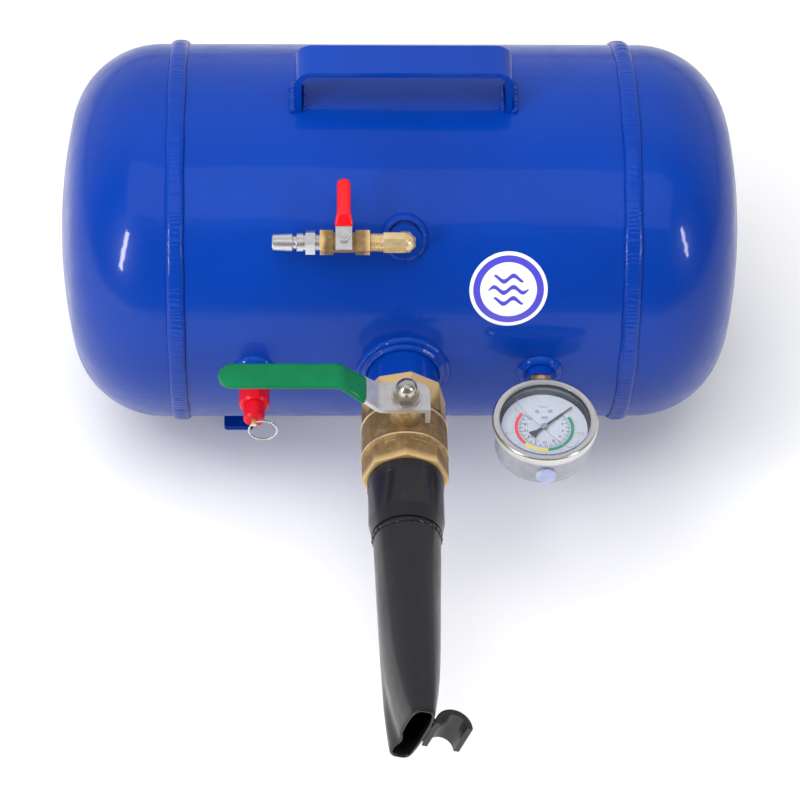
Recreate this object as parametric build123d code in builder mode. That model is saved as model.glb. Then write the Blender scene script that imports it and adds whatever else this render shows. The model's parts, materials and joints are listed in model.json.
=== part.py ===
"""Portable air receiver with a blast nozzle, for seating tyre beads.

A 5 gallon welded steel tank lies along X on two strap feet. A ball valve and a flattened
nozzle point to the front (-Y), an air inlet with its own small valve leans off the shoulder,
and a safety valve and a pressure gauge stand on the front, either side of the main valve.

Millimetres, +Z up. The origin is on the ground, under the middle of the whole object.
"""

import os
from math import atan2, cos, degrees, pi, radians, sin, sqrt

from build123d import *

# ---------------------------------------------------------------- driving dimensions
# Tank
tank_r = 125.0
tank_half_length = 226.0
tank_wall = 3.0
head_flange = 12.6
knuckle_r = 60.0
crown_r = 350.0
seam_width = 13.5
seam_height = 3.0
ground_gap = 20.0

# Fits and gaps
port_gap = 0.1
thread_gap = 0.1
shaft_gap = 0.05
body_gap = 0.3

# Handle and feet
handle_length = 139.0
handle_height = 34.5
handle_width = 25.5
handle_thickness = 4.0
handle_bend_r = 11.0
foot_inset = 36.0
foot_width = 20.0
foot_thickness = 4.0
foot_half_span = 55.0
foot_saddle_half = 20.0
foot_leg_run = 10.0
foot_corner_r = 2.5
weld_leg = 5.0

# Main outlet: welded nipple, ball valve, nozzle
nipple_r = 23.0
nipple_thread_depth = 1.5
nipple_wall = 5.5
nipple_length = 23.0
nipple_thread_length = 16.0
port_depth = 12.0
main_weld_r = 29.5
main_weld_height = 8.0

valve_half_length = 36.5
adapter_length = 14.0
barrel_front = 14.5
barrel_back = 10.5
body_turn = -9.0
valve_wall = 3.9
barrel_wall = 5.0
ball_r = 19.0
ball_port_r = 14.0
seat_thickness = 5.0

stem_r = 6.0
stem_tang = 5.0
stem_tang_depth = 4.0
stem_thread_r = 4.0
packing_height = 4.0
packing_width = 2.2
bonnet_wall = 2.0
gland_height = 2.5
gland_thread_length = 7.5
lever_thickness = 3.0
lever_width = 22.5
lever_blade_width = 17.0
lever_length = 117.5
lever_rise = 21.0
lever_rise_start = 18.0
lever_rise_end = 42.0
lever_heel = 15.0
lever_bend_r = 7.0
lever_tab_width = 5.5
lever_tab_drop = 12.5
grip_start = 26.5
grip_wall = 1.0
nut_flats = 14.0
nut_flange_r = 9.3
nut_hex_height = 4.2
dome_r = 6.9

nozzle_pipe_r = 23.9
nozzle_pipe_wall = 3.2
nozzle_thread_depth = 1.9
nozzle_thread_length = 11.0
nozzle_collar_length = 34.0
nozzle_taper_length = 9.5
nozzle_tube_length = 145.0
nozzle_tube_r = 21.3
nozzle_tube_wall = 2.2
mouth_length = 52.0
mouth_width = 18.5
mouth_tilt = 17.5
mouth_x = 0.2
mouth_z = -3.8
hook_r = 11.8
hook_thickness = 3.5
hook_length = 25.0
hook_offset = 2.5
hook_setback = 0.5

# Side ports: gauge and safety valve at the front, air inlet at the shoulder
boss_wall = 3.1
boss_weld_leg = 5.7
boss_height = 8.5
boss_weld_height = 4.5
inlet_boss_wall = 4.5
inlet_boss_height = 4.5
inlet_weld_leg = 4.9
gauge_inset = 57.0
safety_inset = 50.0
inlet_angle = 44.0

# Pressure gauge
gauge_thread_r = 6.5
gauge_stand_off = 55.0
gauge_case_r = 31.0
gauge_case_wall = 1.2
gauge_case_low = -8.5
gauge_case_high = 14.3
bezel_r = 33.9
bezel_height = 6.5
bezel_lip = 5.0
bezel_wall = 1.2
window_thickness = 2.5
dial_r = 27.5
dial_thickness = 0.8
dial_drop = 5.0
dial_zero = 41.0
dial_sweep = 262.0
pointer_length = 24.0
pointer_tail = 11.0
pointer_thickness = 0.6
pinion_r = 1.0
tube_loop_r = 21.0
tube_width = 4.0
fill_plug_r = 6.5

# Safety valve
safety_thread_r = 6.5
safety_hex = 15.0
safety_hex_length = 6.5
safety_cap_r = 9.6
safety_cap_length = 14.0
safety_nose_r = 6.75
safety_nose_length = 12.0
safety_cap_wall = 1.8
safety_stem_r = 1.7
spring_wire_r = 0.6
spring_turns = 5
ring_r = 9.1
ring_wire_r = 0.6
ring_hole_r = 0.95
ring_lean = 38.0

# Air inlet: elbow, mini valve, plug
inlet_thread_r = 6.5
inlet_stand_off = 18.0
elbow_arm_end = 14.0
elbow_thread_depth = 1.0
mini_pivot_x = -39.0
mini_turn = 22.0
mini_hex_wall = 1.45
mini_barrel_wall = 1.0
mini_right = -22.5
mini_right_hex = 9.0
mini_left = -54.0
mini_left_hex = 8.4
mini_ball_r = 5.0
mini_port_r = 2.8
mini_bonnet_wall = 2.2
mini_bonnet_top = 9.2
mini_stem_r = 2.4
mini_lever_rise = 10.0
mini_lever_thickness = 1.5
mini_lever_width = 10.4
mini_lever_length = 37.5
mini_grip_start = 7.0
mini_grip_wall = 1.4
mini_nut_flats = 7.4
plug_neck_r = 5.1
plug_hex_flats = 14.0
plug_ring_r = 5.9
plug_nose_r = 5.1
plug_bore_r = 3.0

# Label
label_inset = 79.5
label_angle = 29.5
label_r = 25.0
label_thickness = 0.4

# ---------------------------------------------------------------- worked-out sizes
# Torispherical heads: a knuckle blends the straight flange into a shallow crown
crown_x = tank_half_length - crown_r
knuckle_y = tank_r - knuckle_r
knuckle_x = crown_x + sqrt((crown_r - knuckle_r) ** 2 - knuckle_y**2)
blend_angle = degrees(atan2(knuckle_y, knuckle_x - crown_x))
seam_x = knuckle_x - head_flange
foot_x = seam_x - foot_inset
gauge_x = seam_x - gauge_inset
safety_x = safety_inset - seam_x
label_x = seam_x - label_inset
boss_front = tank_r + boss_height
inlet_boss_front = tank_r + inlet_boss_height
port_start = tank_r - port_depth

# Main valve: heights are above its axis, and f values are distances from the tank's axis
nipple_thread_r = nipple_r - nipple_thread_depth
nipple_bore_r = nipple_r - nipple_wall
nipple_end = tank_r + nipple_length
nipple_thread_end = nipple_end + nipple_thread_length
pivot_f = nipple_end + valve_half_length
nozzle_thread_r = nozzle_pipe_r - nozzle_thread_depth
seat_outer = ball_r - 3
seat_inner = seat_outer - seat_thickness
cavity_r = ball_r + 1.5
adapter_thread_r = cavity_r + 1.9
barrel_r = adapter_thread_r + barrel_wall
body_octagon = 2 * (nipple_thread_r + valve_wall)
adapter_octagon = 2 * (nozzle_thread_r + valve_wall - 0.5)
valve_neck_r = body_octagon / 2 + 0.2
valve_joint = seat_outer + 1.5
valve_front = valve_joint + adapter_length
stem_disc_r = stem_r + 2.4
stem_disc_low = ball_r + 3
stem_disc_high = stem_disc_low + 3
packing_r = stem_r + packing_width
packing_low = stem_disc_high + 2.5
packing_high = packing_low + packing_height
bonnet_r = packing_r + bonnet_wall
bonnet_top = packing_high + gland_thread_length
gland_flats = 2 * packing_r + 2
gland_top = bonnet_top + gland_height
lever_z = gland_top + 1.5
lever_top = lever_z + lever_thickness
nozzle_pipe_end = pivot_f + valve_front + nozzle_collar_length
nozzle_start = nozzle_pipe_end + nozzle_taper_length
mouth_f = nozzle_start + nozzle_tube_length
hook_f = mouth_f - hook_setback

# Side ports and what is screwed in them
boss_r = gauge_thread_r + boss_wall
inlet_boss_r = inlet_thread_r + inlet_boss_wall
gauge_centre_f = tank_r + gauge_stand_off
safety_cap_start = boss_front + safety_hex_length
safety_cap_step = safety_cap_start + safety_cap_length
safety_cap_end = safety_cap_step + safety_nose_length
inlet_arm_rise = tank_r + inlet_stand_off
elbow_flats = 2 * inlet_thread_r - 0.2
elbow_thread_r = inlet_thread_r - elbow_thread_depth
mini_hex_flats = 2 * (elbow_thread_r + mini_hex_wall)
mini_barrel_r = elbow_thread_r + mini_barrel_wall
mini_bonnet_r = mini_stem_r + mini_bonnet_wall

# ---------------------------------------------------------------- frame
back_reach = tank_r + seam_height
tank_y = (mouth_f - back_reach) / 2
tank_z = tank_r + ground_gap
tank_axis = Axis((0, tank_y, tank_z), (1, 0, 0))


def port_plane(x, angle, distance):
    """The plane across a port: X along the tank, Z straight out at this angle above the front."""
    out = Vector(0, -cos(radians(angle)), sin(radians(angle)))
    centre = Vector(x, tank_y, tank_z) + out * distance
    return Plane(centre, x_dir=(1, 0, 0), z_dir=out)


def front_plane(x, y=0.0, z=0.0):
    """A plane facing the front, through a point given from the tank's axis."""
    return Plane((x, tank_y + y, tank_z + z), x_dir=(1, 0, 0), z_dir=(0, -1, 0))


def end_plane(x):
    """A plane across the tank, on its axis: X to the back, Y up."""
    return Plane((x, tank_y, tank_z), x_dir=(0, 1, 0), z_dir=(1, 0, 0))


def level_plane(x, forward, height):
    """A level plane through a point given from the tank's axis."""
    return Plane((x, tank_y - forward, tank_z + height), x_dir=(1, 0, 0), z_dir=(0, 0, 1))


def turned(plane, outline, mode=Mode.ADD):
    """Turn an outline of (radius, height) points about the plane's own Z axis."""
    side = Plane(plane.origin, x_dir=plane.x_dir, z_dir=-plane.y_dir)
    with BuildSketch(side) as half:
        with BuildLine():
            Polyline(*outline, close=True)
        make_face()
    revolve(half.sketch, axis=Axis(plane.origin, plane.z_dir), mode=mode)


def drilled(plane, radius, start, end, mode=Mode.SUBTRACT):
    """A cylinder on the plane's Z axis between two heights, cut away by default."""
    with BuildSketch(plane.offset(start)) as circle:
        Circle(radius)
    extrude(circle.sketch, amount=end - start, mode=mode)


def prism(plane, sides, flats, start, end, turn=0.0, mode=Mode.ADD):
    """A hexagon or octagon prism on the plane's Z axis, given its width across flats."""
    with BuildSketch(plane.offset(start)) as polygon:
        RegularPolygon(flats / 2, sides, major_radius=False, rotation=turn)
    extrude(polygon.sketch, amount=end - start, mode=mode)


def bent_strip(plane, points, bend_r, thickness, width, mode=Mode.ADD):
    """A flat strip bent along a route that is one of its faces, centred on the plane."""
    with BuildSketch(plane) as section:
        with BuildLine():
            FilletPolyline(*points, radius=bend_r)
            offset(amount=thickness, side=Side.LEFT)
        make_face()
    extrude(section.sketch, amount=width / 2, both=True, mode=mode)


def tank_cutter(radius):
    """The tank's cylinder as a separate solid, for shaping what is welded on it."""
    return Cylinder(radius, 2 * tank_half_length, rotation=(0, 90, 0), mode=Mode.PRIVATE).moved(
        Location((0, tank_y, tank_z))
    )


def save(builder, name):
    """Label a finished piece and write it."""
    builder.part.label = name
    export_step(builder.part, f"parts/{name}.step")


os.makedirs("parts", exist_ok=True)
main_port = port_plane(0, 0, 0)
gauge_port = port_plane(gauge_x, 0, 0)
safety_port = port_plane(safety_x, 0, 0)
inlet_port = port_plane(0, inlet_angle, 0)

# ---------------------------------------------------------------- tank shell and heads
with BuildPart() as tank_shell:
    with BuildSketch(front_plane(0)) as wall:
        with Locations((0, tank_r - tank_wall / 2)):
            Rectangle(2 * seam_x, tank_wall)
    revolve(axis=tank_axis)
    for port, hole_r in (
        (main_port, nipple_r),
        (gauge_port, boss_r),
        (safety_port, boss_r),
        (inlet_port, inlet_boss_r),
    ):
        drilled(port, hole_r + port_gap, tank_r / 2, tank_r + tank_wall)
save(tank_shell, "tank_shell")

with BuildPart() as tank_head_right:
    with BuildSketch(front_plane(0)):
        with BuildLine():
            Line((seam_x, tank_r - tank_wall), (seam_x, tank_r))
            Line((seam_x, tank_r), (knuckle_x, tank_r))
            CenterArc((knuckle_x, knuckle_y), knuckle_r, 90, blend_angle - 90)
            CenterArc((crown_x, 0), crown_r, blend_angle, -blend_angle)
            Line((tank_half_length, 0), (tank_half_length - tank_wall, 0))
            CenterArc((crown_x, 0), crown_r - tank_wall, 0, blend_angle)
            CenterArc(
                (knuckle_x, knuckle_y), knuckle_r - tank_wall, blend_angle, 90 - blend_angle
            )
            Line((knuckle_x, tank_r - tank_wall), (seam_x, tank_r - tank_wall))
        make_face()
    revolve(axis=tank_axis)
save(tank_head_right, "tank_head_right")

with BuildPart() as tank_head_left:
    mirror(tank_head_right.part, about=Plane.YZ)
save(tank_head_left, "tank_head_left")

for side, name in ((1, "seam_weld_right"), (-1, "seam_weld_left")):
    with BuildPart() as seam_weld:
        with BuildSketch(front_plane(0)):
            with BuildLine():
                bead_low = (side * seam_x - seam_width / 2, tank_r)
                bead_high = (side * seam_x + seam_width / 2, tank_r)
                ThreePointArc(bead_low, (side * seam_x, tank_r + seam_height), bead_high)
                Line(bead_high, bead_low)
            make_face()
        revolve(axis=tank_axis)
    save(seam_weld, name)

# ---------------------------------------------------------------- handle and feet
handle_half = handle_length / 2
handle_top = tank_r + handle_height
handle_route = [
    (-handle_half, tank_r - 5),
    (-handle_half, handle_top),
    (handle_half, handle_top),
    (handle_half, tank_r - 5),
]
with BuildPart() as handle:
    with BuildSketch(front_plane(0)) as strap:
        with BuildLine():
            FilletPolyline(*handle_route, radius=handle_bend_r)
            offset(amount=handle_thickness, side=Side.RIGHT)
        make_face()
    extrude(amount=handle_width / 2, both=True)
    add(tank_cutter(tank_r), mode=Mode.SUBTRACT)
save(handle, "handle")

with BuildPart() as handle_welds:
    for side in (-1, 1):
        with BuildSketch(front_plane(0)) as bead:
            with BuildLine():
                Polyline(
                    (side * handle_half, tank_r - 3),
                    (side * (handle_half + weld_leg), tank_r - 3),
                    (side * (handle_half + weld_leg), tank_r),
                    (side * handle_half, tank_r + weld_leg),
                    close=True,
                )
            make_face()
        extrude(bead.sketch, amount=handle_width / 2, both=True)
    add(tank_cutter(tank_r), mode=Mode.SUBTRACT)
save(handle_welds, "handle_welds")

# Each foot is one strap: a saddle welded under the tank, two legs and two soles
sole_top = -tank_z + foot_thickness
saddle_z = -tank_r
leg_foot = foot_saddle_half + foot_leg_run
foot_route = [
    (-foot_half_span, sole_top),
    (-leg_foot, sole_top),
    (-foot_saddle_half, saddle_z),
    (foot_saddle_half, saddle_z),
    (leg_foot, sole_top),
    (foot_half_span, sole_top),
]
for side, name in ((1, "foot_right"), (-1, "foot_left")):
    with BuildPart() as foot:
        with BuildSketch(end_plane(side * foot_x)) as strap:
            with BuildLine():
                FilletPolyline(*foot_route, radius=foot_thickness + 1)
                offset(amount=foot_thickness, side=Side.RIGHT)
            make_face()
        extrude(amount=foot_width / 2, both=True)
        fillet(
            foot.edges().filter_by(Axis.Z).filter_by(lambda e: e.length < foot_thickness * 1.2),
            foot_corner_r,
        )
    save(foot, name)

with BuildPart() as foot_welds:
    for side in (-1, 1):
        for edge in (-1, 1):
            x = side * foot_x + edge * foot_width / 2
            with BuildSketch(front_plane(0)) as bead:
                with BuildLine():
                    Polyline(
                        (x, -tank_r + 2),
                        (x, -tank_r - foot_thickness + 1),
                        (x + edge * weld_leg, -tank_r + 2),
                        close=True,
                    )
                make_face()
            extrude(bead.sketch, amount=foot_saddle_half / 2, both=True)
    add(tank_cutter(tank_r), mode=Mode.SUBTRACT)
save(foot_welds, "foot_welds")

# ---------------------------------------------------------------- ports welded in the shell
def weld_fillet(port, inner_r, outer_r, height):
    """A fillet weld round a port, shaped to the tank."""
    toe = 12.0
    outline = [
        (inner_r, tank_r - toe),
        (outer_r + toe, tank_r - toe),
        (outer_r, tank_r),
        (inner_r + 1.5, tank_r + height),
        (inner_r, tank_r + height),
    ]
    turned(port, outline)
    add(tank_cutter(tank_r), mode=Mode.SUBTRACT)


with BuildPart() as outlet_nipple:
    nipple_outline = [
        (nipple_bore_r, port_start),
        (nipple_r, port_start),
        (nipple_r, nipple_end),
        (nipple_thread_r, nipple_end),
        (nipple_thread_r, nipple_thread_end),
        (nipple_bore_r, nipple_thread_end),
    ]
    turned(main_port, nipple_outline)
save(outlet_nipple, "outlet_nipple")

with BuildPart() as outlet_weld:
    weld_fillet(main_port, nipple_r, main_weld_r, main_weld_height)
save(outlet_weld, "outlet_weld")

for port, outer_r, bore_r, front, name in (
    (gauge_port, boss_r, gauge_thread_r, boss_front, "gauge_boss"),
    (safety_port, boss_r, safety_thread_r, boss_front, "safety_boss"),
    (inlet_port, inlet_boss_r, inlet_thread_r, inlet_boss_front, "inlet_boss"),
):
    with BuildPart() as boss:
        boss_outline = [
            (bore_r + thread_gap, port_start),
            (outer_r, port_start),
            (outer_r, front),
            (bore_r + thread_gap, front),
        ]
        turned(port, boss_outline)
    save(boss, name)

with BuildPart() as boss_welds:
    for port, outer_r, toe_r, height in (
        (gauge_port, boss_r, boss_r + boss_weld_leg, boss_weld_height),
        (safety_port, boss_r, boss_r + boss_weld_leg, boss_weld_height),
        (inlet_port, inlet_boss_r, inlet_boss_r + inlet_weld_leg, inlet_boss_height - 1),
    ):
        weld_fillet(port, outer_r, toe_r, height)
save(boss_welds, "boss_welds")

# ---------------------------------------------------------------- label
with BuildPart() as label:
    drilled(port_plane(label_x, label_angle, 0), label_r, tank_r / 2, 2 * tank_r, Mode.ADD)
    add(tank_cutter(tank_r + label_thickness), mode=Mode.INTERSECT)
    add(tank_cutter(tank_r), mode=Mode.SUBTRACT)
save(label, "label")

# ---------------------------------------------------------------- main ball valve
valve = port_plane(0, 0, pivot_f)
stem_axis = level_plane(0, pivot_f, 0)
valve_back = nipple_end - pivot_f
neck_back = -barrel_back - 3
nipple_bore_end = nipple_thread_end - pivot_f + 0.5
with BuildPart() as valve_body:
    prism(valve, 8, body_octagon, valve_back, neck_back, body_turn)
    body_outline = [
        (0, neck_back - 4),
        (valve_neck_r, neck_back - 4),
        (valve_neck_r + 0.4, neck_back),
        (barrel_r + 0.4, -barrel_back),
        (barrel_r, -barrel_back + 2.5),
        (barrel_r, barrel_front - 2.5),
        (barrel_r + 0.4, barrel_front),
        (valve_neck_r, barrel_front + 1.5),
        (valve_neck_r, valve_joint),
        (0, valve_joint),
    ]
    turned(valve, body_outline)
    drilled(stem_axis, bonnet_r, 0, bonnet_top, Mode.ADD)
    drilled(valve, nipple_thread_r + thread_gap, valve_back, nipple_bore_end)
    drilled(valve, ball_port_r, nipple_bore_end, -seat_outer)
    drilled(valve, cavity_r, -seat_outer, seat_outer)
    drilled(valve, adapter_thread_r + thread_gap, seat_inner, valve_joint)
    drilled(stem_axis, stem_disc_r + body_gap, 0, stem_disc_high + body_gap)
    drilled(stem_axis, stem_r + body_gap, 0, packing_low)
    drilled(stem_axis, packing_r + thread_gap, packing_low, bonnet_top)
save(valve_body, "valve_body")

adapter_back = seat_inner + 0.1
adapter_face = valve_joint + 0.1
with BuildPart() as valve_adapter:
    prism(valve, 8, adapter_octagon, adapter_face, valve_front)
    drilled(valve, adapter_thread_r, adapter_back, adapter_face, Mode.ADD)
    drilled(valve, ball_port_r, adapter_back, valve_front)
    drilled(valve, cavity_r, adapter_back, seat_outer)
    nozzle_bore = valve_front - nozzle_thread_length - 1
    drilled(valve, nozzle_thread_r + thread_gap, nozzle_bore, valve_front)
    drilled(valve, ball_port_r + 2, adapter_face, nozzle_bore)
save(valve_adapter, "valve_adapter")


def seat_pair(plane, ball, port, outer_r, inner, outer):
    """Two seat rings, one each side of a ball, bevelled to clear it."""
    clear = ball + body_gap
    bore = port + 0.3
    for side in (-1, 1):
        seat_outline = [
            (bore, side * outer),
            (outer_r, side * outer),
            (outer_r, side * inner),
            (sqrt(clear**2 - inner**2), side * inner),
            (bore, side * sqrt(clear**2 - bore**2)),
        ]
        turned(plane, seat_outline)


with BuildPart() as ball_seats:
    seat_pair(valve, ball_r, ball_port_r, cavity_r - thread_gap, seat_inner, seat_outer)
save(ball_seats, "ball_seats")

# The ball is shut: its port lies across the flow, along X
ball_plane = Plane(valve.origin, x_dir=(0, 1, 0), z_dir=(1, 0, 0))
slot_floor = ball_r - stem_tang_depth
with BuildPart() as valve_ball:
    with Locations(Location(valve.origin)):
        Sphere(ball_r)
    drilled(ball_plane, ball_port_r, -ball_r, ball_r)
    with BuildSketch(stem_axis.offset(slot_floor)) as slot:
        Rectangle(2 * ball_r, stem_tang + 2 * thread_gap)
    extrude(amount=2 * stem_tang_depth, mode=Mode.SUBTRACT)
save(valve_ball, "valve_ball")

flat_half = stem_r - 1.2
with BuildPart() as valve_stem:
    stem_outline = [
        (0, stem_disc_low),
        (stem_disc_r, stem_disc_low),
        (stem_disc_r, stem_disc_high),
        (stem_r, stem_disc_high),
        (stem_r, lever_top),
        (stem_thread_r, lever_top),
        (stem_thread_r, lever_top + nut_hex_height + 2),
        (0, lever_top + nut_hex_height + 2),
    ]
    turned(stem_axis, stem_outline)
    with BuildSketch(stem_axis.offset(slot_floor + thread_gap)) as tang:
        Rectangle(2 * stem_disc_r - 5, stem_tang)
    extrude(amount=stem_disc_low - slot_floor - thread_gap)
    with BuildSketch(stem_axis.offset(lever_z)) as flats:
        for side in (-1, 1):
            with Locations((0, side * (flat_half + stem_r / 2))):
                Rectangle(3 * stem_r, stem_r)
    extrude(amount=lever_thickness, mode=Mode.SUBTRACT)
save(valve_stem, "valve_stem")

with BuildPart() as stem_packing:
    drilled(stem_axis, packing_r, packing_low, packing_high, Mode.ADD)
    drilled(stem_axis, stem_r + shaft_gap, packing_low, packing_high)
save(stem_packing, "stem_packing")

with BuildPart() as gland_nut:
    drilled(stem_axis, packing_r, packing_high, bonnet_top, Mode.ADD)
    prism(stem_axis, 6, gland_flats, bonnet_top, gland_top)
    drilled(stem_axis, stem_r + body_gap, packing_high, gland_top)
save(gland_nut, "gland_nut")

# The lever lies across the flow, to the left; its face is level at the hub and at the grip
lever_side = Plane(stem_axis.origin, x_dir=(-1, 0, 0), z_dir=(0, 1, 0))
lever_blade_end = lever_length - grip_wall


def lever_points(start, end, drop=0.0):
    """The lever's lower face between two reaches from the pivot, or a face below it."""
    low = lever_z - drop
    points = [(start, low), (lever_rise_start, low)]
    if start > 0:
        points = [(start, low + (start - lever_rise_start) * lever_slope)]
    points += [(lever_rise_end, low + lever_rise), (end, low + lever_rise)]
    return points


def round_off(plane, reach, width):
    """Cut the square end of a lever round, as seen along its pivot."""
    with BuildSketch(plane) as corner:
        with Locations((reach, 0)):
            Rectangle(width / 2, 2 * width, align=(Align.MAX, Align.CENTER))
        with Locations((reach - width / 2, 0)):
            Circle(width / 2, mode=Mode.SUBTRACT)
    extrude(corner.sketch, amount=tank_r, mode=Mode.SUBTRACT)


def slimmed(blade_width, hub_width):
    """Trim both sides of the lever from its full width at the hub to the blade's width."""
    with BuildSketch(lever_seen) as sides:
        for side in (-1, 1):
            with BuildLine():
                Polyline(
                    (lever_rise_start - 4, side * hub_width / 2),
                    (lever_rise_end - 6, side * blade_width / 2),
                    (lever_length, side * blade_width / 2),
                    (lever_length, side * hub_width),
                    (lever_rise_start - 4, side * hub_width),
                    close=True,
                )
            make_face()
    extrude(sides.sketch, amount=tank_r, mode=Mode.SUBTRACT)


lever_slope = lever_rise / (lever_rise_end - lever_rise_start)
lever_seen = Plane(stem_axis.origin, x_dir=(-1, 0, 0), z_dir=(0, 0, 1))
with BuildPart() as valve_lever:
    bent_strip(
        lever_side,
        lever_points(-lever_heel, lever_blade_end),
        lever_bend_r,
        lever_thickness,
        lever_width,
    )
    slimmed(lever_blade_width, lever_width)
    round_off(lever_seen, lever_blade_end, lever_blade_width)
    with BuildSketch(lever_seen.offset(lever_top - lever_tab_drop)) as tab:
        with Locations((-lever_heel, lever_width / 2)):
            Rectangle(lever_thickness, lever_tab_width, align=(Align.MIN, Align.MAX))
    extrude(tab.sketch, amount=lever_tab_drop)
    with BuildSketch(lever_seen.offset(lever_z)) as hub_hole:
        Circle(stem_r + thread_gap)
        Rectangle(3 * stem_r, 2 * (flat_half + thread_gap), mode=Mode.INTERSECT)
    extrude(hub_hole.sketch, amount=lever_thickness, mode=Mode.SUBTRACT)
    heel_corner = valve_lever.edges().filter_by(Axis.Z).group_by(Axis.X)[-1].sort_by(Axis.Y)[-1:]
    fillet(heel_corner, 0.38 * lever_width)
save(valve_lever, "valve_lever")

grip_width = lever_blade_width + 2 * grip_wall
grip_root_width = lever_width + 2 * grip_wall
with BuildPart() as lever_grip:
    bent_strip(
        lever_side,
        lever_points(grip_start, lever_length, grip_wall),
        lever_bend_r,
        lever_thickness + 2 * grip_wall,
        grip_root_width,
    )
    slimmed(grip_width, grip_root_width)
    round_off(lever_seen, lever_length, grip_width)
    add(valve_lever.part, mode=Mode.SUBTRACT)
save(lever_grip, "lever_grip")

with BuildPart() as lever_nut:
    flange_top = lever_top + 1.5
    hex_top = flange_top + nut_hex_height
    drilled(stem_axis, nut_flange_r, lever_top, flange_top, Mode.ADD)
    prism(stem_axis, 6, nut_flats, flange_top, hex_top)
    drilled(stem_axis, dome_r, hex_top, hex_top + 1.5, Mode.ADD)
    with Locations(Location(stem_axis.offset(hex_top + 1.5).origin)):
        Sphere(dome_r)
    drilled(stem_axis, dome_r + 1, lever_z, lever_top)
    drilled(stem_axis, stem_thread_r + thread_gap, lever_z, hex_top + 2)
save(lever_nut, "lever_nut")

# ---------------------------------------------------------------- nozzle
nozzle_thread_start = pivot_f + valve_front - nozzle_thread_length
nozzle_pipe_bore = nozzle_pipe_r - nozzle_pipe_wall
with BuildPart() as nozzle_pipe:
    pipe_outline = [
        (nozzle_pipe_bore, nozzle_start),
        (nozzle_tube_r + 0.8, nozzle_start),
        (nozzle_pipe_r, nozzle_pipe_end),
        (nozzle_pipe_r, pivot_f + valve_front + 0.2),
        (nozzle_thread_r, pivot_f + valve_front),
        (nozzle_thread_r, nozzle_thread_start),
        (nozzle_thread_r - 3, nozzle_thread_start),
    ]
    turned(main_port, pipe_outline)
save(nozzle_pipe, "nozzle_pipe")


def nozzle_section(forward, inset):
    """The tube's outline at one place: round at the weld, a leaning slot at the mouth."""
    share = (forward - nozzle_start) / nozzle_tube_length
    flatten = 0.45 * share + 0.55 * share**6
    half_long = nozzle_tube_r + (mouth_length / 2 - nozzle_tube_r) * share - inset
    half_wide = nozzle_tube_r - (nozzle_tube_r - mouth_width / 2) * flatten - inset
    power = 1 - 0.4 * share**4
    plane = front_plane(mouth_x * share, -forward, mouth_z * share)
    points = []
    for step in range(24):
        angle = 2 * pi * step / 24
        wide = half_wide * abs(cos(angle)) ** power * (1 if cos(angle) > 0 else -1)
        long = half_long * abs(sin(angle)) ** power * (1 if sin(angle) > 0 else -1)
        points.append(Vector(wide, long).rotate(Axis.Z, -mouth_tilt))
    with BuildSketch(plane) as section:
        with BuildLine():
            Spline(*points, periodic=True)
        make_face()
    return section.sketch


def nozzle_form(inset):
    """The tube's closed form, lofted through its sections."""
    places = [nozzle_start + nozzle_tube_length * share for share in (0, 0.3, 0.6, 0.8, 1)]
    with BuildPart(mode=Mode.PRIVATE) as form:
        loft([nozzle_section(place, inset).face() for place in places])
    return form.part


nozzle_outside = nozzle_form(0)
with BuildPart() as nozzle_tube:
    add(nozzle_outside)
    add(nozzle_form(nozzle_tube_wall), mode=Mode.SUBTRACT)
save(nozzle_tube, "nozzle_tube")

with BuildPart() as nozzle_weld:
    bead_r = nozzle_tube_r + 1.4
    bead_outline = [
        (nozzle_tube_r - 0.6, nozzle_start),
        (bead_r - 0.6, nozzle_start),
        (bead_r, nozzle_start + 1.2),
        (bead_r, nozzle_start + 3),
        (nozzle_tube_r - 0.6, nozzle_start + 4.5),
    ]
    turned(main_port, bead_outline)
    add(nozzle_outside, mode=Mode.SUBTRACT)
save(nozzle_weld, "nozzle_weld")

# A half round hook beside the mouth keeps it on the wheel's rim
mouth_across = Vector(cos(radians(mouth_tilt)), 0, -sin(radians(mouth_tilt)))
mouth_along = Vector(sin(radians(mouth_tilt)), 0, cos(radians(mouth_tilt)))
hook_centre = (
    Vector(mouth_x, tank_y - hook_f, tank_z + mouth_z)
    + mouth_across * (mouth_width / 2 + hook_r)
    + mouth_along * hook_offset
)
with BuildPart() as rim_hook:
    with BuildSketch(Plane(hook_centre, x_dir=mouth_across, z_dir=mouth_along)) as arch:
        Circle(hook_r)
        Circle(hook_r - hook_thickness, mode=Mode.SUBTRACT)
        Rectangle(3 * hook_r, 2 * hook_r, align=(Align.CENTER, Align.MAX), mode=Mode.SUBTRACT)
    extrude(amount=hook_length / 2, both=True)
    add(nozzle_outside, mode=Mode.SUBTRACT)
save(rim_hook, "rim_hook")

# ---------------------------------------------------------------- pressure gauge
gauge = level_plane(gauge_x, gauge_centre_f, 0)
case_inner_r = gauge_case_r - gauge_case_wall
case_back = gauge_centre_f - gauge_case_r
socket_end = case_back + 12
with BuildPart() as gauge_socket:
    drilled(gauge_port, gauge_thread_r, port_start + 2, boss_front, Mode.ADD)
    with BuildSketch(gauge_port.offset(boss_front)) as shank:
        Rectangle(2 * gauge_thread_r - 0.4, 2 * gauge_thread_r - 0.4)
    extrude(shank.sketch, amount=socket_end - boss_front)
    drilled(gauge_port, 1.5, port_start + 2, socket_end - 4)
save(gauge_socket, "gauge_socket")

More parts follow.
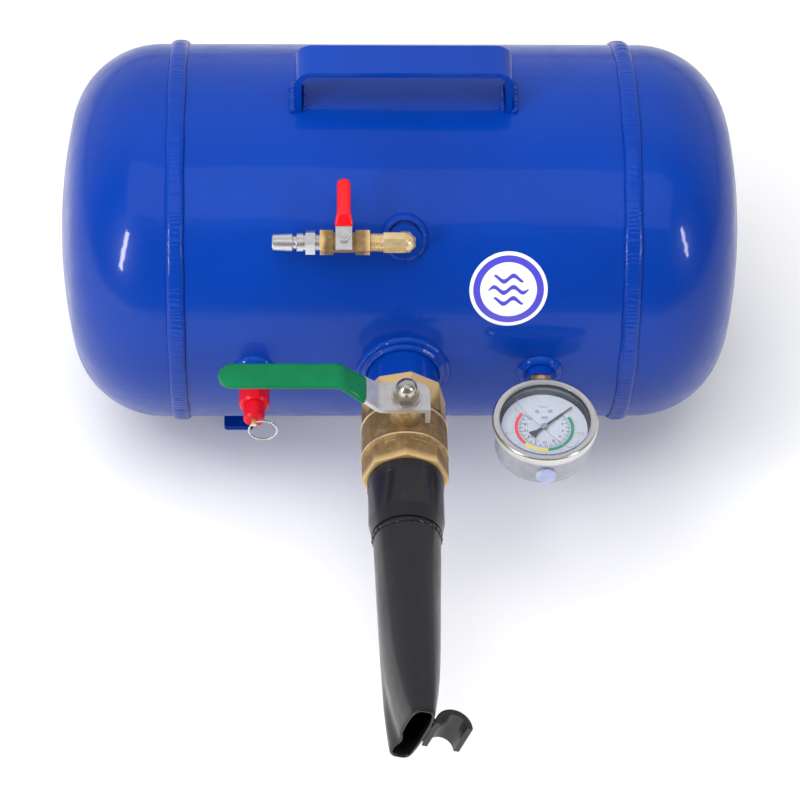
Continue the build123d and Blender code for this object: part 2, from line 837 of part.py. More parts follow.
with BuildPart() as gauge_case:
    drilled(gauge, gauge_case_r, gauge_case_low, gauge_case_high, Mode.ADD)
    fillet(gauge_case.faces().sort_by(Axis.Z)[0].edges(), 1.0)
    drilled(gauge, case_inner_r, gauge_case_low + gauge_case_wall, gauge_case_high)
    with BuildSketch(gauge_port.offset(case_back - 1)) as socket_hole:
        Rectangle(2 * gauge_thread_r - 0.2, 2 * gauge_thread_r - 0.2)
    extrude(socket_hole.sketch, amount=gauge_case_r / 2, mode=Mode.SUBTRACT)
    drilled(gauge_port, fill_plug_r - 1.5, gauge_centre_f, gauge_centre_f + gauge_case_r + 1)
save(gauge_case, "gauge_case")

with BuildPart() as gauge_fill_plug:
    plug_face = gauge_centre_f + gauge_case_r
    drilled(gauge_port, fill_plug_r, plug_face - 3, plug_face + 1.2, Mode.ADD)
    case_block = Cylinder(gauge_case_r, 60, mode=Mode.PRIVATE).moved(Location(gauge.origin))
    add(case_block, mode=Mode.SUBTRACT)
    drilled(gauge_port, fill_plug_r - 1.7, plug_face - 3, plug_face, Mode.ADD)
save(gauge_fill_plug, "gauge_fill_plug")

gasket_top = gauge_case_high + 1.0
window_top = gasket_top + window_thickness
bezel_top = window_top + bezel_wall
with BuildPart() as gauge_gasket:
    drilled(gauge, gauge_case_r, gauge_case_high, gasket_top, Mode.ADD)
    drilled(gauge, case_inner_r - 1, gauge_case_high, gasket_top)
save(gauge_gasket, "gauge_gasket")

with BuildPart() as gauge_window:
    drilled(gauge, gauge_case_r, gasket_top, window_top, Mode.ADD)
save(gauge_window, "gauge_window")

with BuildPart() as gauge_bezel:
    bezel_outline = [
        (gauge_case_r, bezel_top - bezel_height),
        (bezel_r, bezel_top - bezel_height),
        (bezel_r, bezel_top - 1.6),
        (bezel_r - 1.6, bezel_top),
        (bezel_r - bezel_lip, bezel_top),
        (bezel_r - bezel_lip, window_top),
        (gauge_case_r, window_top),
    ]
    turned(gauge, bezel_outline)
save(gauge_bezel, "gauge_bezel")

dial_top = gauge_case_high - dial_drop
plate_high = dial_top - dial_thickness - 2.5
plate_low = plate_high - 7.5
with BuildPart() as gauge_dial:
    drilled(gauge, dial_r, dial_top - dial_thickness, dial_top, Mode.ADD)
    drilled(gauge, pinion_r + 0.6, dial_top - dial_thickness, dial_top)
save(gauge_dial, "gauge_dial")

# Two plates on pillars carry the pinion and the sector, and two posts carry the dial
plate_thickness = 1.2
plate_width = 11.0
sector_y = -8.0
block_y = gauge_centre_f - socket_end
with BuildPart() as gauge_movement:
    for low, plate_back in ((plate_low, block_y), (plate_high - plate_thickness, 7.0)):
        with BuildSketch(gauge.offset(low)) as plate:
            with Locations((0, sector_y - 4)):
                Rectangle(plate_width, plate_back - sector_y + 4, align=(Align.CENTER, Align.MIN))
        extrude(plate.sketch, amount=plate_thickness)
    for x in (-4, 4):
        post = Plane(gauge.origin + Vector(x, 5.5, 0), z_dir=(0, 0, 1))
        drilled(post, 1.2, plate_low, dial_top - dial_thickness, Mode.ADD)
    sector_pivot = Plane(gauge.origin + Vector(0, sector_y, 0), z_dir=(0, 0, 1))
    drilled(gauge, pinion_r + shaft_gap, plate_low - 1, plate_high + 1)
    drilled(sector_pivot, pinion_r + shaft_gap, plate_low - 1, plate_high + 1)
save(gauge_movement, "gauge_movement")

gear_low = plate_low + plate_thickness + body_gap
gear_high = plate_high - plate_thickness - body_gap
pinion_pitch_r = 1.4
pointer_low = dial_top + 1.4
with BuildPart() as gauge_pinion:
    drilled(gauge, pinion_r, plate_low, pointer_low + pointer_thickness, Mode.ADD)
    drilled(gauge, pinion_pitch_r, gear_low, gear_high, Mode.ADD)
save(gauge_pinion, "gauge_pinion")

sector_r = -sector_y - pinion_pitch_r - 0.1
with BuildPart() as gauge_sector:
    drilled(sector_pivot, pinion_r, plate_low, plate_high, Mode.ADD)
    gear_mid = (gear_low + gear_high) / 2
    with BuildSketch(sector_pivot.offset(gear_mid - 0.6)) as quadrant:
        Circle(sector_r)
        with BuildLine():
            Polyline((0, 0), (-2 * sector_r, sector_r), (-2 * sector_r, -2 * sector_r),
                     (2 * sector_r, -2 * sector_r), (2 * sector_r, sector_r), close=True)
        make_face(mode=Mode.SUBTRACT)
        Circle(2.5)
    extrude(quadrant.sketch, amount=1.2)
save(gauge_sector, "gauge_sector")

pointer_plane = Plane(
    gauge.offset(pointer_low).origin,
    x_dir=(cos(radians(dial_zero)), sin(radians(dial_zero)), 0),
    z_dir=(0, 0, 1),
)
with BuildPart() as gauge_pointer:
    with BuildSketch(pointer_plane) as needle:
        with BuildLine():
            Polyline(
                (-pointer_tail, -3.0),
                (-pointer_tail + 5, -1.0),
                (0, -0.8),
                (pointer_length, -0.25),
                (pointer_length, 0.25),
                (0, 0.8),
                (-pointer_tail + 5, 1.0),
                (-pointer_tail, 3.0),
                close=True,
            )
        make_face()
        Circle(2.2)
        Circle(pinion_r, mode=Mode.SUBTRACT)
    extrude(needle.sketch, amount=pointer_thickness)
save(gauge_pointer, "gauge_pointer")

with BuildPart() as bourdon_tube:
    with BuildLine(gauge) as loop:
        CenterArc((0, 0), tube_loop_r, 90, 250)
    with BuildSketch(Plane(loop.line @ 0, z_dir=loop.line % 0)) as tube_section:
        Ellipse(tube_width / 2, tube_width / 4)
    sweep(tube_section.sketch, path=loop.line)
    add(gauge_socket.part, mode=Mode.SUBTRACT)
save(bourdon_tube, "bourdon_tube")

# ---------------------------------------------------------------- safety valve
safety_nose_end = safety_cap_start + 6
safety_seat = safety_cap_start - 2
seal_top = safety_seat + 2
collar_top = seal_top + 2
with BuildPart() as safety_body:
    drilled(safety_port, safety_thread_r, port_start + 2, boss_front, Mode.ADD)
    prism(safety_port, 6, safety_hex, boss_front, safety_cap_start, turn=30)
    cap_thread_r = safety_cap_r - safety_cap_wall - thread_gap
    drilled(safety_port, cap_thread_r, safety_cap_start, safety_nose_end, Mode.ADD)
    drilled(safety_port, 3.0, port_start + 2, safety_seat)
    drilled(safety_port, 5.9, safety_seat, safety_nose_end)
save(safety_body, "safety_body")

cap_floor = safety_cap_end - 2
with BuildPart() as safety_cap:
    prism(safety_port, 10, 2 * safety_cap_r - 0.4, safety_cap_start + 0.1, safety_cap_step - 1)
    cap_outline = [
        (0, safety_cap_step - 1),
        (safety_cap_r - 0.2, safety_cap_step - 1),
        (safety_cap_r - 1.4, safety_cap_step + 0.6),
        (safety_nose_r, safety_cap_step + 0.6),
        (safety_nose_r, safety_cap_end - 1),
        (safety_nose_r - 1, safety_cap_end),
        (0, safety_cap_end),
    ]
    turned(safety_port, cap_outline)
    drilled(safety_port, safety_cap_r - safety_cap_wall, safety_cap_start, safety_nose_end + 0.5)
    drilled(safety_port, 4.4, safety_nose_end, cap_floor)
    drilled(safety_port, safety_stem_r + shaft_gap, cap_floor - 1, safety_cap_end + 1)
save(safety_cap, "safety_cap")

ring_f = safety_cap_end + 2.2
ring_pin = Vector(safety_x, tank_y - ring_f, tank_z)
ring_down = Vector(sin(radians(ring_lean)), 0, -cos(radians(ring_lean)))
ring_across = Vector(cos(radians(ring_lean)), 0, sin(radians(ring_lean)))
with BuildPart() as safety_stem:
    drilled(safety_port, 5.6, seal_top, collar_top, Mode.ADD)
    drilled(safety_port, safety_stem_r, collar_top, ring_f + 1.8, Mode.ADD)
    fillet(safety_stem.faces().sort_by(Axis.Y)[0].edges(), 0.6)
    drilled(Plane(ring_pin, z_dir=ring_across), ring_hole_r, -3 * safety_stem_r, 3 * safety_stem_r)
save(safety_stem, "safety_stem")

with BuildPart() as safety_seal:
    drilled(safety_port, 5.6, safety_seat, seal_top, Mode.ADD)
save(safety_seal, "safety_seal")

spring_r = 4.4 - body_gap - spring_wire_r
spring_low = collar_top + spring_wire_r
spring_high = cap_floor - spring_wire_r
spring_plane = safety_port.offset(spring_low)
with BuildPart() as safety_spring:
    pitch = (spring_high - spring_low) / spring_turns
    with BuildLine():
        coil = Helix(
            pitch,
            spring_high - spring_low,
            spring_r,
            center=spring_plane.origin,
            direction=spring_plane.z_dir,
        )
    with BuildSketch(Plane(coil @ 0, z_dir=coil % 0)) as wire:
        Circle(spring_wire_r)
    sweep(wire.sketch, path=coil, is_frenet=True)
save(safety_spring, "safety_spring")

with BuildPart() as pull_ring:
    ring_centre = ring_pin + ring_down * ring_r
    with Locations(Plane(ring_centre, z_dir=(0, -1, 0)).location):
        Torus(ring_r, ring_wire_r)
save(pull_ring, "pull_ring")

# ---------------------------------------------------------------- air inlet
arm_origin = inlet_port.offset(inlet_arm_rise).origin
mini_angle = radians(inlet_angle + mini_turn)
mini_up = Vector(0, -cos(mini_angle), sin(mini_angle))
mini_back = Vector(0, sin(mini_angle), cos(mini_angle))
arm = Plane(arm_origin, x_dir=mini_up, z_dir=(-1, 0, 0))
elbow_arm = Plane(arm_origin, x_dir=inlet_port.z_dir, z_dir=(-1, 0, 0))
elbow_thread_end = -mini_right + 6.5
with BuildPart() as inlet_elbow:
    drilled(inlet_port, inlet_thread_r, port_start + 2, inlet_boss_front, Mode.ADD)
    prism(inlet_port, 8, elbow_flats, inlet_boss_front, inlet_arm_rise, turn=22.5)
    prism(elbow_arm, 8, elbow_flats, 0, elbow_arm_end, turn=22.5)
    with Locations(Location(arm_origin)):
        Sphere(elbow_flats / 2)
    drilled(arm, elbow_thread_r, elbow_arm_end, elbow_thread_end, Mode.ADD)
    drilled(inlet_port, 3.2, port_start, inlet_arm_rise)
    drilled(arm, 3.2, 0, elbow_thread_end + 1)
save(inlet_elbow, "inlet_elbow")

mini_origin = Vector(mini_pivot_x, arm_origin.Y, arm_origin.Z)
mini_stem_axis = Plane(mini_origin, x_dir=(1, 0, 0), z_dir=mini_up)
mini_seat_inner = 2.8
mini_seat_outer = 5.2
mini_cavity_r = 5.8
mini_ball_left = -mini_pivot_x + mini_seat_outer
mini_insert_end = mini_ball_left + 2.6
with BuildPart() as inlet_valve_body:
    prism(arm, 6, mini_hex_flats, -mini_right, -mini_right + mini_right_hex, turn=0)
    drilled(arm, mini_barrel_r, -mini_right, -mini_left, Mode.ADD)
    prism(arm, 6, mini_hex_flats, -mini_left - mini_left_hex, -mini_left, turn=0)
    drilled(mini_stem_axis, mini_bonnet_r, 0, mini_bonnet_top, Mode.ADD)
    drilled(arm, elbow_thread_r + thread_gap, -mini_right, elbow_thread_end + 0.5)
    drilled(arm, mini_port_r, elbow_thread_end, -mini_left)
    drilled(arm, mini_cavity_r, -mini_pivot_x - mini_seat_outer, -mini_left)
    drilled(mini_stem_axis, mini_stem_r + shaft_gap, 0, mini_bonnet_top)
save(inlet_valve_body, "inlet_valve_body")

with BuildPart() as inlet_valve_insert:
    drilled(arm, mini_cavity_r - thread_gap, mini_ball_left, mini_insert_end, Mode.ADD)
    drilled(arm, mini_port_r, mini_ball_left, mini_insert_end)
save(inlet_valve_insert, "inlet_valve_insert")

with BuildPart() as inlet_ball_seats:
    seat_r = mini_cavity_r - thread_gap
    mini_flow = arm.offset(-mini_pivot_x)
    seat_pair(mini_flow, mini_ball_r, mini_port_r, seat_r, mini_seat_inner, mini_seat_outer)
save(inlet_ball_seats, "inlet_ball_seats")

mini_slot_floor = mini_ball_r - 1.6
with BuildPart() as inlet_ball:
    with Locations(Location(mini_origin)):
        Sphere(mini_ball_r)
    drilled(Plane(mini_origin, z_dir=mini_back), mini_port_r, -mini_ball_r, mini_ball_r)
    with BuildSketch(mini_stem_axis.offset(mini_slot_floor)) as slot:
        Rectangle(2 * mini_ball_r, 1.8)
    extrude(amount=3, mode=Mode.SUBTRACT)
save(inlet_ball, "inlet_ball")

mini_lever_top = mini_lever_rise + mini_lever_thickness
with BuildPart() as inlet_stem:
    drilled(mini_stem_axis, mini_stem_r, mini_ball_r + body_gap, mini_lever_rise, Mode.ADD)
    drilled(mini_stem_axis, mini_stem_r - 0.4, mini_lever_rise, mini_lever_top + 3.4, Mode.ADD)
    with BuildSketch(mini_stem_axis.offset(mini_slot_floor + 0.1)) as tang:
        Rectangle(2 * mini_stem_r - 1, 1.6)
    extrude(amount=mini_ball_r + body_gap - mini_slot_floor - 0.1)
save(inlet_stem, "inlet_stem")

mini_side = Plane(mini_origin, x_dir=mini_back, z_dir=(1, 0, 0))
mini_seen = Plane(mini_origin, x_dir=mini_back, z_dir=mini_up)
mini_step = 3.5
mini_step_start = 7.5
mini_step_end = 14.0
mini_blade_width = 6.0
mini_blade_end = mini_lever_length - mini_grip_wall


def mini_lever_points(start, end, drop=0.0):
    """The small lever's lower face between two reaches from the pivot, or a face below it."""
    low = mini_lever_rise - drop
    points = [(start, low), (mini_step_start, low)]
    if start > 0:
        points = [(start, low)]
    points += [(mini_step_end, low + mini_step), (end, low + mini_step)]
    return points


def waist(hub_width, blade_width, end):
    """Keep a lever wide at its hub and narrow along its blade."""
    with BuildSketch(mini_seen) as outline:
        with BuildLine():
            half_hub = hub_width / 2
            half_blade = blade_width / 2
            Polyline(
                (-2 * half_hub, -half_hub),
                (mini_step_start, -half_hub),
                (mini_step_end + 4, -half_blade),
                (end, -half_blade),
                (end, half_blade),
                (mini_step_end + 4, half_blade),
                (mini_step_start, half_hub),
                (-2 * half_hub, half_hub),
                close=True,
            )
        make_face()
    extrude(outline.sketch, amount=mini_lever_length, mode=Mode.INTERSECT)


with BuildPart() as inlet_lever:
    bent_strip(
        mini_side,
        mini_lever_points(-mini_lever_width * 0.82, mini_blade_end),
        2.0,
        mini_lever_thickness,
        mini_lever_width,
    )
    waist(mini_lever_width, mini_blade_width, mini_blade_end)
    round_off(mini_seen, mini_blade_end, mini_blade_width)
    drilled(mini_stem_axis, mini_stem_r - 0.3, mini_lever_rise - 1, mini_lever_top + 1)
save(inlet_lever, "inlet_lever")

with BuildPart() as inlet_lever_grip:
    bent_strip(
        mini_side,
        mini_lever_points(mini_grip_start, mini_lever_length, mini_grip_wall),
        2.0,
        mini_lever_thickness + 2 * mini_grip_wall,
        mini_lever_width + mini_grip_wall,
    )
    mini_grip_width = mini_blade_width + 2 * mini_grip_wall
    waist(mini_lever_width + mini_grip_wall, mini_grip_width, mini_lever_length)
    round_off(mini_seen, mini_lever_length, mini_grip_width)
    add(inlet_lever.part, mode=Mode.SUBTRACT)
save(inlet_lever_grip, "inlet_lever_grip")

with BuildPart() as inlet_lever_nut:
    prism(mini_stem_axis, 6, mini_nut_flats, mini_lever_top, mini_lever_top + 2.8)
    drilled(mini_stem_axis, mini_stem_r - 0.3, mini_lever_top, mini_lever_top + 2.8)
save(inlet_lever_nut, "inlet_lever_nut")

# A quick plug for the air hose: nose, groove, locking ring, hexagon, thread
plug_hex_start = -mini_left + 3
plug_hex_end = plug_hex_start + 6
plug_ring_start = plug_hex_end + 1.5
plug_ring_end = plug_ring_start + 4
plug_tip = plug_ring_end + 15.5
with BuildPart() as quick_plug:
    prism(arm, 6, plug_hex_flats, plug_hex_start, plug_hex_end, turn=30)
    plug_outline = [
        (0, mini_insert_end + 0.3),
        (mini_cavity_r - thread_gap, mini_insert_end + 0.3),
        (mini_cavity_r - thread_gap, -mini_left),
        (plug_neck_r, -mini_left),
        (plug_neck_r, plug_ring_start),
        (plug_ring_r, plug_ring_start),
        (plug_ring_r, plug_ring_end),
        (plug_ring_r - 1.7, plug_ring_end + 0.5),
        (plug_ring_r - 1.7, plug_ring_end + 2.4),
        (plug_ring_r - 0.2, plug_ring_end + 3),
        (plug_nose_r, plug_tip - 0.6),
        (plug_nose_r - 0.5, plug_tip),
        (0, plug_tip),
    ]
    turned(arm, plug_outline)
    drilled(arm, plug_bore_r, mini_insert_end, plug_tip + 1)
save(quick_plug, "quick_plug")
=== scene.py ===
"""Portable air receiver with a blast nozzle: finished pieces and materials round the CAD frame."""

import json
import math

import bmesh
import bpy
from mathutils import Matrix, Vector


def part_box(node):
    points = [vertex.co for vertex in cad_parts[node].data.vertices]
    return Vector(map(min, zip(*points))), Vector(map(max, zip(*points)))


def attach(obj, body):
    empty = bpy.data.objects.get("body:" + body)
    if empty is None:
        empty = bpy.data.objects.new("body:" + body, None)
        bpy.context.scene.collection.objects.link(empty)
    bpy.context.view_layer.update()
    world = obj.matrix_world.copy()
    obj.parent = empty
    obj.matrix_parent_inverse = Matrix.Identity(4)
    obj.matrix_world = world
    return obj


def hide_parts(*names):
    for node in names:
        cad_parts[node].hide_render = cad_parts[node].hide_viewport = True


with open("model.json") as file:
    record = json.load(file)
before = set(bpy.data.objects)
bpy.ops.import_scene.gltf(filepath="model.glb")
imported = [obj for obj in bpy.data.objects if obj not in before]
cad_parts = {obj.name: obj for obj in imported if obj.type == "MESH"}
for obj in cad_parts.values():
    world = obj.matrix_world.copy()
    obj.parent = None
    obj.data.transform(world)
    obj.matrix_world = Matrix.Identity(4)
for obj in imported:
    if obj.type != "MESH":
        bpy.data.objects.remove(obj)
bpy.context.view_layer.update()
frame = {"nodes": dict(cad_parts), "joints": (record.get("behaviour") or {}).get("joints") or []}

MM = 0.001
nodes = frame["nodes"]
joints = {joint["name"]: joint for joint in frame["joints"]}

# ---------------------------------------------------------------- places from the frame
shell_low, shell_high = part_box("tank_shell")
TANK_R = (shell_high[1] - shell_low[1]) / 2
AXIS_Y = (shell_high[1] + shell_low[1]) / 2
AXIS_Z = (shell_high[2] + shell_low[2]) / 2
SEAM_X = shell_high[0]
HEAD_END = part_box("tank_head_right")[1][0]


def lerp(a, b, share):
    """A value between a and b."""
    return a + (b - a) * share


def centre_of(node):
    """The middle of a CAD node's box."""
    low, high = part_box(node)
    return Vector([(low[i] + high[i]) / 2 for i in range(3)])


GAUGE = Vector((centre_of("gauge_case").x, centre_of("gauge_case").y, AXIS_Z))
SAFETY = Vector((centre_of("safety_cap").x, AXIS_Y, AXIS_Z))
PIVOT = Vector(joints["main_lever_turn"]["pos_m"])
MINI_PIVOT = Vector(joints["inlet_lever_turn"]["pos_m"])
MINI_UP = Vector(joints["inlet_lever_turn"]["axis"])


# ---------------------------------------------------------------- shader helpers
class Shader:
    """A Principled material built node by node, with object coordinates in metres."""

    def __init__(self, name, base, metallic=0.0, rough=0.4, coat=0.0, coat_rough=0.05):
        self.mat = bpy.data.materials.new(name)
        self.mat.use_nodes = True
        self.tree = self.mat.node_tree
        self.bsdf = self.tree.nodes["Principled BSDF"]
        self.set("Base Color", (*base, 1))
        self.set("Metallic", metallic)
        self.set("Roughness", rough)
        self.set("Coat Weight", coat)
        self.set("Coat Roughness", coat_rough)
        self.coord = self.node("ShaderNodeTexCoord").outputs["Object"]
        self.height = None

    def node(self, kind):
        return self.tree.nodes.new(kind)

    def link(self, source, target):
        self.tree.links.new(source, target)

    def set(self, socket, value):
        self.bsdf.inputs[socket].default_value = value

    def noise(self, scale, detail=3.0, rough=0.5, stretch=(1, 1, 1)):
        """Noise with its scale in cycles per metre."""
        mapping = self.node("ShaderNodeMapping")
        mapping.inputs["Scale"].default_value = stretch
        self.link(self.coord, mapping.inputs["Vector"])
        noise = self.node("ShaderNodeTexNoise")
        noise.inputs["Scale"].default_value = scale
        noise.inputs["Detail"].default_value = detail
        noise.inputs["Roughness"].default_value = rough
        self.link(mapping.outputs["Vector"], noise.inputs["Vector"])
        return noise.outputs["Fac"]

    def ramp(self, fac, *stops):
        """A colour ramp: each stop is (position, colour)."""
        ramp = self.node("ShaderNodeValToRGB")
        elements = ramp.color_ramp.elements
        while len(elements) < len(stops):
            elements.new(0.5)
        for element, (position, colour) in zip(elements, stops):
            element.position = position
            element.color = (*colour, 1)
        self.link(fac, ramp.inputs["Fac"])
        return ramp.outputs["Color"]

    def span(self, fac, low, high, from_low=0.0, from_high=1.0):
        """A value moved from one range to another."""
        span = self.node("ShaderNodeMapRange")
        span.inputs["From Min"].default_value = from_low
        span.inputs["From Max"].default_value = from_high
        span.inputs["To Min"].default_value = low
        span.inputs["To Max"].default_value = high
        self.link(fac, span.inputs["Value"])
        return span.outputs["Result"]

    def mix(self, fac, first, second):
        """Two colours mixed by a value."""
        mix = self.node("ShaderNodeMix")
        mix.data_type = "RGBA"
        self.link(fac, mix.inputs["Factor"])
        for socket, colour in ((mix.inputs["A"], first), (mix.inputs["B"], second)):
            if isinstance(colour, tuple):
                socket.default_value = (*colour, 1)
            else:
                self.link(colour, socket)
        return mix.outputs["Result"]

    def painted_edge_highlight(self, bright, spread):
        """How far a place is on an outer edge, from the mesh's pointiness: the mask for a highlight
        painted on the edges.
        """
        point = self.node("ShaderNodeNewGeometry").outputs["Pointiness"]
        return self.span(point, 0.0, 1.0, bright - spread, bright)

    def colour(self, value):
        self.link(value, self.bsdf.inputs["Base Color"])

    def roughness(self, value):
        self.link(value, self.bsdf.inputs["Roughness"])

    def bump(self, fac, depth, coat=False):
        """Relief of this depth in metres, on top of any that is there."""
        bump = self.node("ShaderNodeBump")
        bump.inputs["Strength"].default_value = 1.0
        bump.inputs["Distance"].default_value = depth
        self.link(fac, bump.inputs["Height"])
        if self.height:
            self.link(self.height, bump.inputs["Normal"])
        self.height = bump.outputs["Normal"]
        self.link(self.height, self.bsdf.inputs["Normal"])
        if coat:
            self.link(self.height, self.bsdf.inputs["Coat Normal"])


def blue_paint():
    """Gloss enamel over rolled steel: orange peel, slow waves and a few specks."""
    s = Shader("blue_paint", (0.0, 0.045, 0.36), rough=0.36, coat=0.3, coat_rough=0.06)
    s.set("IOR", 1.2)
    tone = s.noise(7, 3)
    s.colour(s.ramp(tone, (0.3, (0.0, 0.031, 0.265)), (0.7, (0.0, 0.041, 0.34))))
    s.roughness(s.span(s.noise(60, 4), 0.28, 0.4, 0.3, 0.7))
    s.bump(s.noise(18, 2), 0.0003, coat=True)
    s.bump(s.noise(520, 2, 0.4), 0.000012, coat=True)
    s.bump(s.noise(170, 1, 0.3, (0.06, 1, 1)), 0.00012, coat=True)
    specks = s.span(s.noise(900, 1), 0.0, 1.0, 0.72, 0.78)
    s.bump(specks, 0.00002, coat=True)
    return s.mat


def black_paint():
    """Semi-gloss black over drawn pipe, rubbed brown in places."""
    s = Shader("black_paint", (0.006, 0.005, 0.007), rough=0.32, coat=0.35, coat_rough=0.12)
    s.set("IOR", 1.3)
    rub = s.span(s.noise(55, 6, 0.7), 0.0, 1.0, 0.62, 0.72)
    s.colour(s.mix(rub, (0.007, 0.006, 0.008), (0.024, 0.018, 0.017)))
    s.roughness(s.span(s.noise(120, 5, 0.6, (1, 0.25, 1)), 0.26, 0.5, 0.3, 0.7))
    s.bump(s.noise(40, 3, 0.5, (1, 0.3, 1)), 0.0003, coat=True)
    s.bump(s.noise(600, 2), 0.00002, coat=True)
    return s.mat


def cast_brass():
    """Sand-cast brass: dull and grainy, brighter on its edges, where a highlight is painted into
    the colour.
    """
    s = Shader("cast_brass", (0.36, 0.22, 0.085), metallic=0.6, rough=0.46)
    tone = s.ramp(
        s.noise(130, 6, 0.7),
        (0.3, (0.19, 0.115, 0.046)),
        (0.52, (0.29, 0.185, 0.078)),
        (0.72, (0.45, 0.30, 0.14)),
    )
    # painted highlight: the outer edges are lightened towards bright brass, as if the light caught
    # them
    s.colour(s.mix(s.painted_edge_highlight(0.60, 0.07), tone, (0.80, 0.55, 0.25)))
    s.roughness(s.span(s.noise(180, 4), 0.42, 0.62, 0.3, 0.7))
    s.bump(s.noise(1500, 4, 0.7), 0.00012)
    s.bump(s.noise(420, 3), 0.0001)
    return s.mat


def turned_brass():
    """Machined brass with fine tool marks."""
    s = Shader("turned_brass", (0.75, 0.57, 0.30), metallic=0.75, rough=0.3)
    s.colour(
        s.ramp(s.noise(90, 4), (0.3, (0.64, 0.47, 0.24)), (0.7, (0.86, 0.68, 0.40)))
    )
    s.roughness(s.span(s.noise(400, 4, 0.6), 0.24, 0.42, 0.3, 0.7))
    s.bump(s.noise(1300, 3), 0.00003)
    return s.mat


def plated_steel(name="plated_steel", base=(0.74, 0.73, 0.74), rough=0.32):
    """Zinc-plated steel: satin, faintly clouded."""
    s = Shader(name, base, metallic=0.95, rough=rough)
    dark = tuple(c * 0.86 for c in base)
    s.colour(s.mix(s.span(s.noise(120, 5, 0.6), 0, 1, 0.35, 0.65), base, dark))
    s.roughness(s.span(s.noise(300, 4), rough * 0.8, rough * 1.25, 0.3, 0.7))
    s.bump(s.noise(900, 4, 0.6), 0.00003)
    return s.mat


def polished_steel():
    """Polished stainless steel with faint spun lines."""
    s = Shader("polished_steel", (0.62, 0.61, 0.60), metallic=1.0, rough=0.26)
    s.roughness(s.span(s.noise(700, 3, 0.5, (0.05, 0.05, 1)), 0.2, 0.34, 0.3, 0.7))
    s.bump(s.noise(1600, 2, 0.5, (0.03, 0.03, 1)), 0.00001)
    return s.mat


def vinyl(name, base, dark, rough=0.42, coat=0.1):
    """Dipped or moulded vinyl, slightly uneven."""
    s = Shader(name, base, rough=rough, coat=coat, coat_rough=0.2)
    s.set("IOR", 1.25)
    s.colour(s.mix(s.span(s.noise(60, 3), 0, 1, 0.35, 0.65), base, dark))
    s.roughness(s.span(s.noise(250, 3), rough * 0.85, rough * 1.2, 0.3, 0.7))
    s.bump(s.noise(220, 2), 0.00006)
    s.bump(s.noise(1400, 3), 0.00002)
    return s.mat


def rubber(name, base, rough=0.6):
    """Matt moulded rubber."""
    s = Shader(name, base, rough=rough)
    s.roughness(s.span(s.noise(300, 3), rough * 0.85, rough * 1.1, 0.3, 0.7))
    s.bump(s.noise(900, 3), 0.00003)
    return s.mat


def clear_rubber():
    """The gauge's translucent filling plug."""
    s = Shader("clear_rubber", (0.62, 0.66, 0.80), rough=0.35)
    s.set("Subsurface Weight", 0.3)
    s.set("Subsurface Scale", 0.004)
    s.colour(s.ramp(s.noise(200, 3), (0.3, (0.30, 0.35, 0.62)), (0.7, (0.48, 0.53, 0.66))))
    s.bump(s.noise(500, 2), 0.00003)
    return s.mat


def window_glass():
    """The gauge's clear window, faintly blue, with a slight haze."""
    s = Shader("window_glass", (0.42, 0.47, 0.56), rough=0.03)
    s.link(s.span(s.noise(25, 3), 0.04, 0.09, 0.3, 0.7), s.bsdf.inputs["Alpha"])
    s.roughness(s.span(s.noise(40, 2), 0.02, 0.05))
    return s.mat


def printed(name, base, rough=0.5):
    """Ink or printed film, faintly mottled."""
    s = Shader(name, base, rough=rough)
    dark = tuple(c * 0.93 for c in base)
    s.colour(s.mix(s.span(s.noise(400, 3), 0, 1, 0.35, 0.65), base, dark))
    s.bump(s.noise(1200, 2), 0.00001)
    return s.mat


def label_film(name, base):
    """Gloss printed film on the tank."""
    s = Shader(name, base, rough=0.3, coat=0.4, coat_rough=0.1)
    dark = tuple(c * 0.94 for c in base)
    s.colour(s.mix(s.span(s.noise(150, 3), 0, 1, 0.35, 0.65), base, dark))
    s.bump(s.noise(60, 2), 0.00006, coat=True)
    return s.mat


BLUE = blue_paint()
BLACK = black_paint()
CAST = cast_brass()
TURNED = turned_brass()
ZINC = plated_steel()
LEVER_STEEL = plated_steel("lever_steel", (0.70, 0.69, 0.70), 0.42)
NUT_STEEL = plated_steel("nut_steel", (0.56, 0.51, 0.46), 0.24)
STAINLESS = polished_steel()
CASE_STEEL = plated_steel("case_steel", (0.40, 0.41, 0.45), 0.3)
GREEN = vinyl("green_vinyl", (0.0, 0.155, 0.055), (0.0, 0.135, 0.046))
RED = vinyl("red_vinyl", (0.72, 0.006, 0.012), (0.58, 0.004, 0.01), 0.3, 0.3)
RED_CAP = vinyl("red_plastic", (0.68, 0.004, 0.014), (0.56, 0.003, 0.011), 0.34, 0.2)
PTFE = rubber("ptfe", (0.8, 0.8, 0.78), 0.35)
RUBBER = rubber("black_rubber", (0.02, 0.02, 0.02))
PLUG_RUBBER = clear_rubber()
GLASS = window_glass()
DIAL = printed("dial_white", (0.50, 0.54, 0.63))
BLACK_INK = printed("black_ink", (0.015, 0.015, 0.018))
SMOKE = printed("bubble_grey", (0.30, 0.32, 0.34), 0.15)
LABEL_WHITE = label_film("label_white", (0.85, 0.86, 0.92))
LABEL_VIOLET = label_film("label_violet", (0.075, 0.065, 0.55))

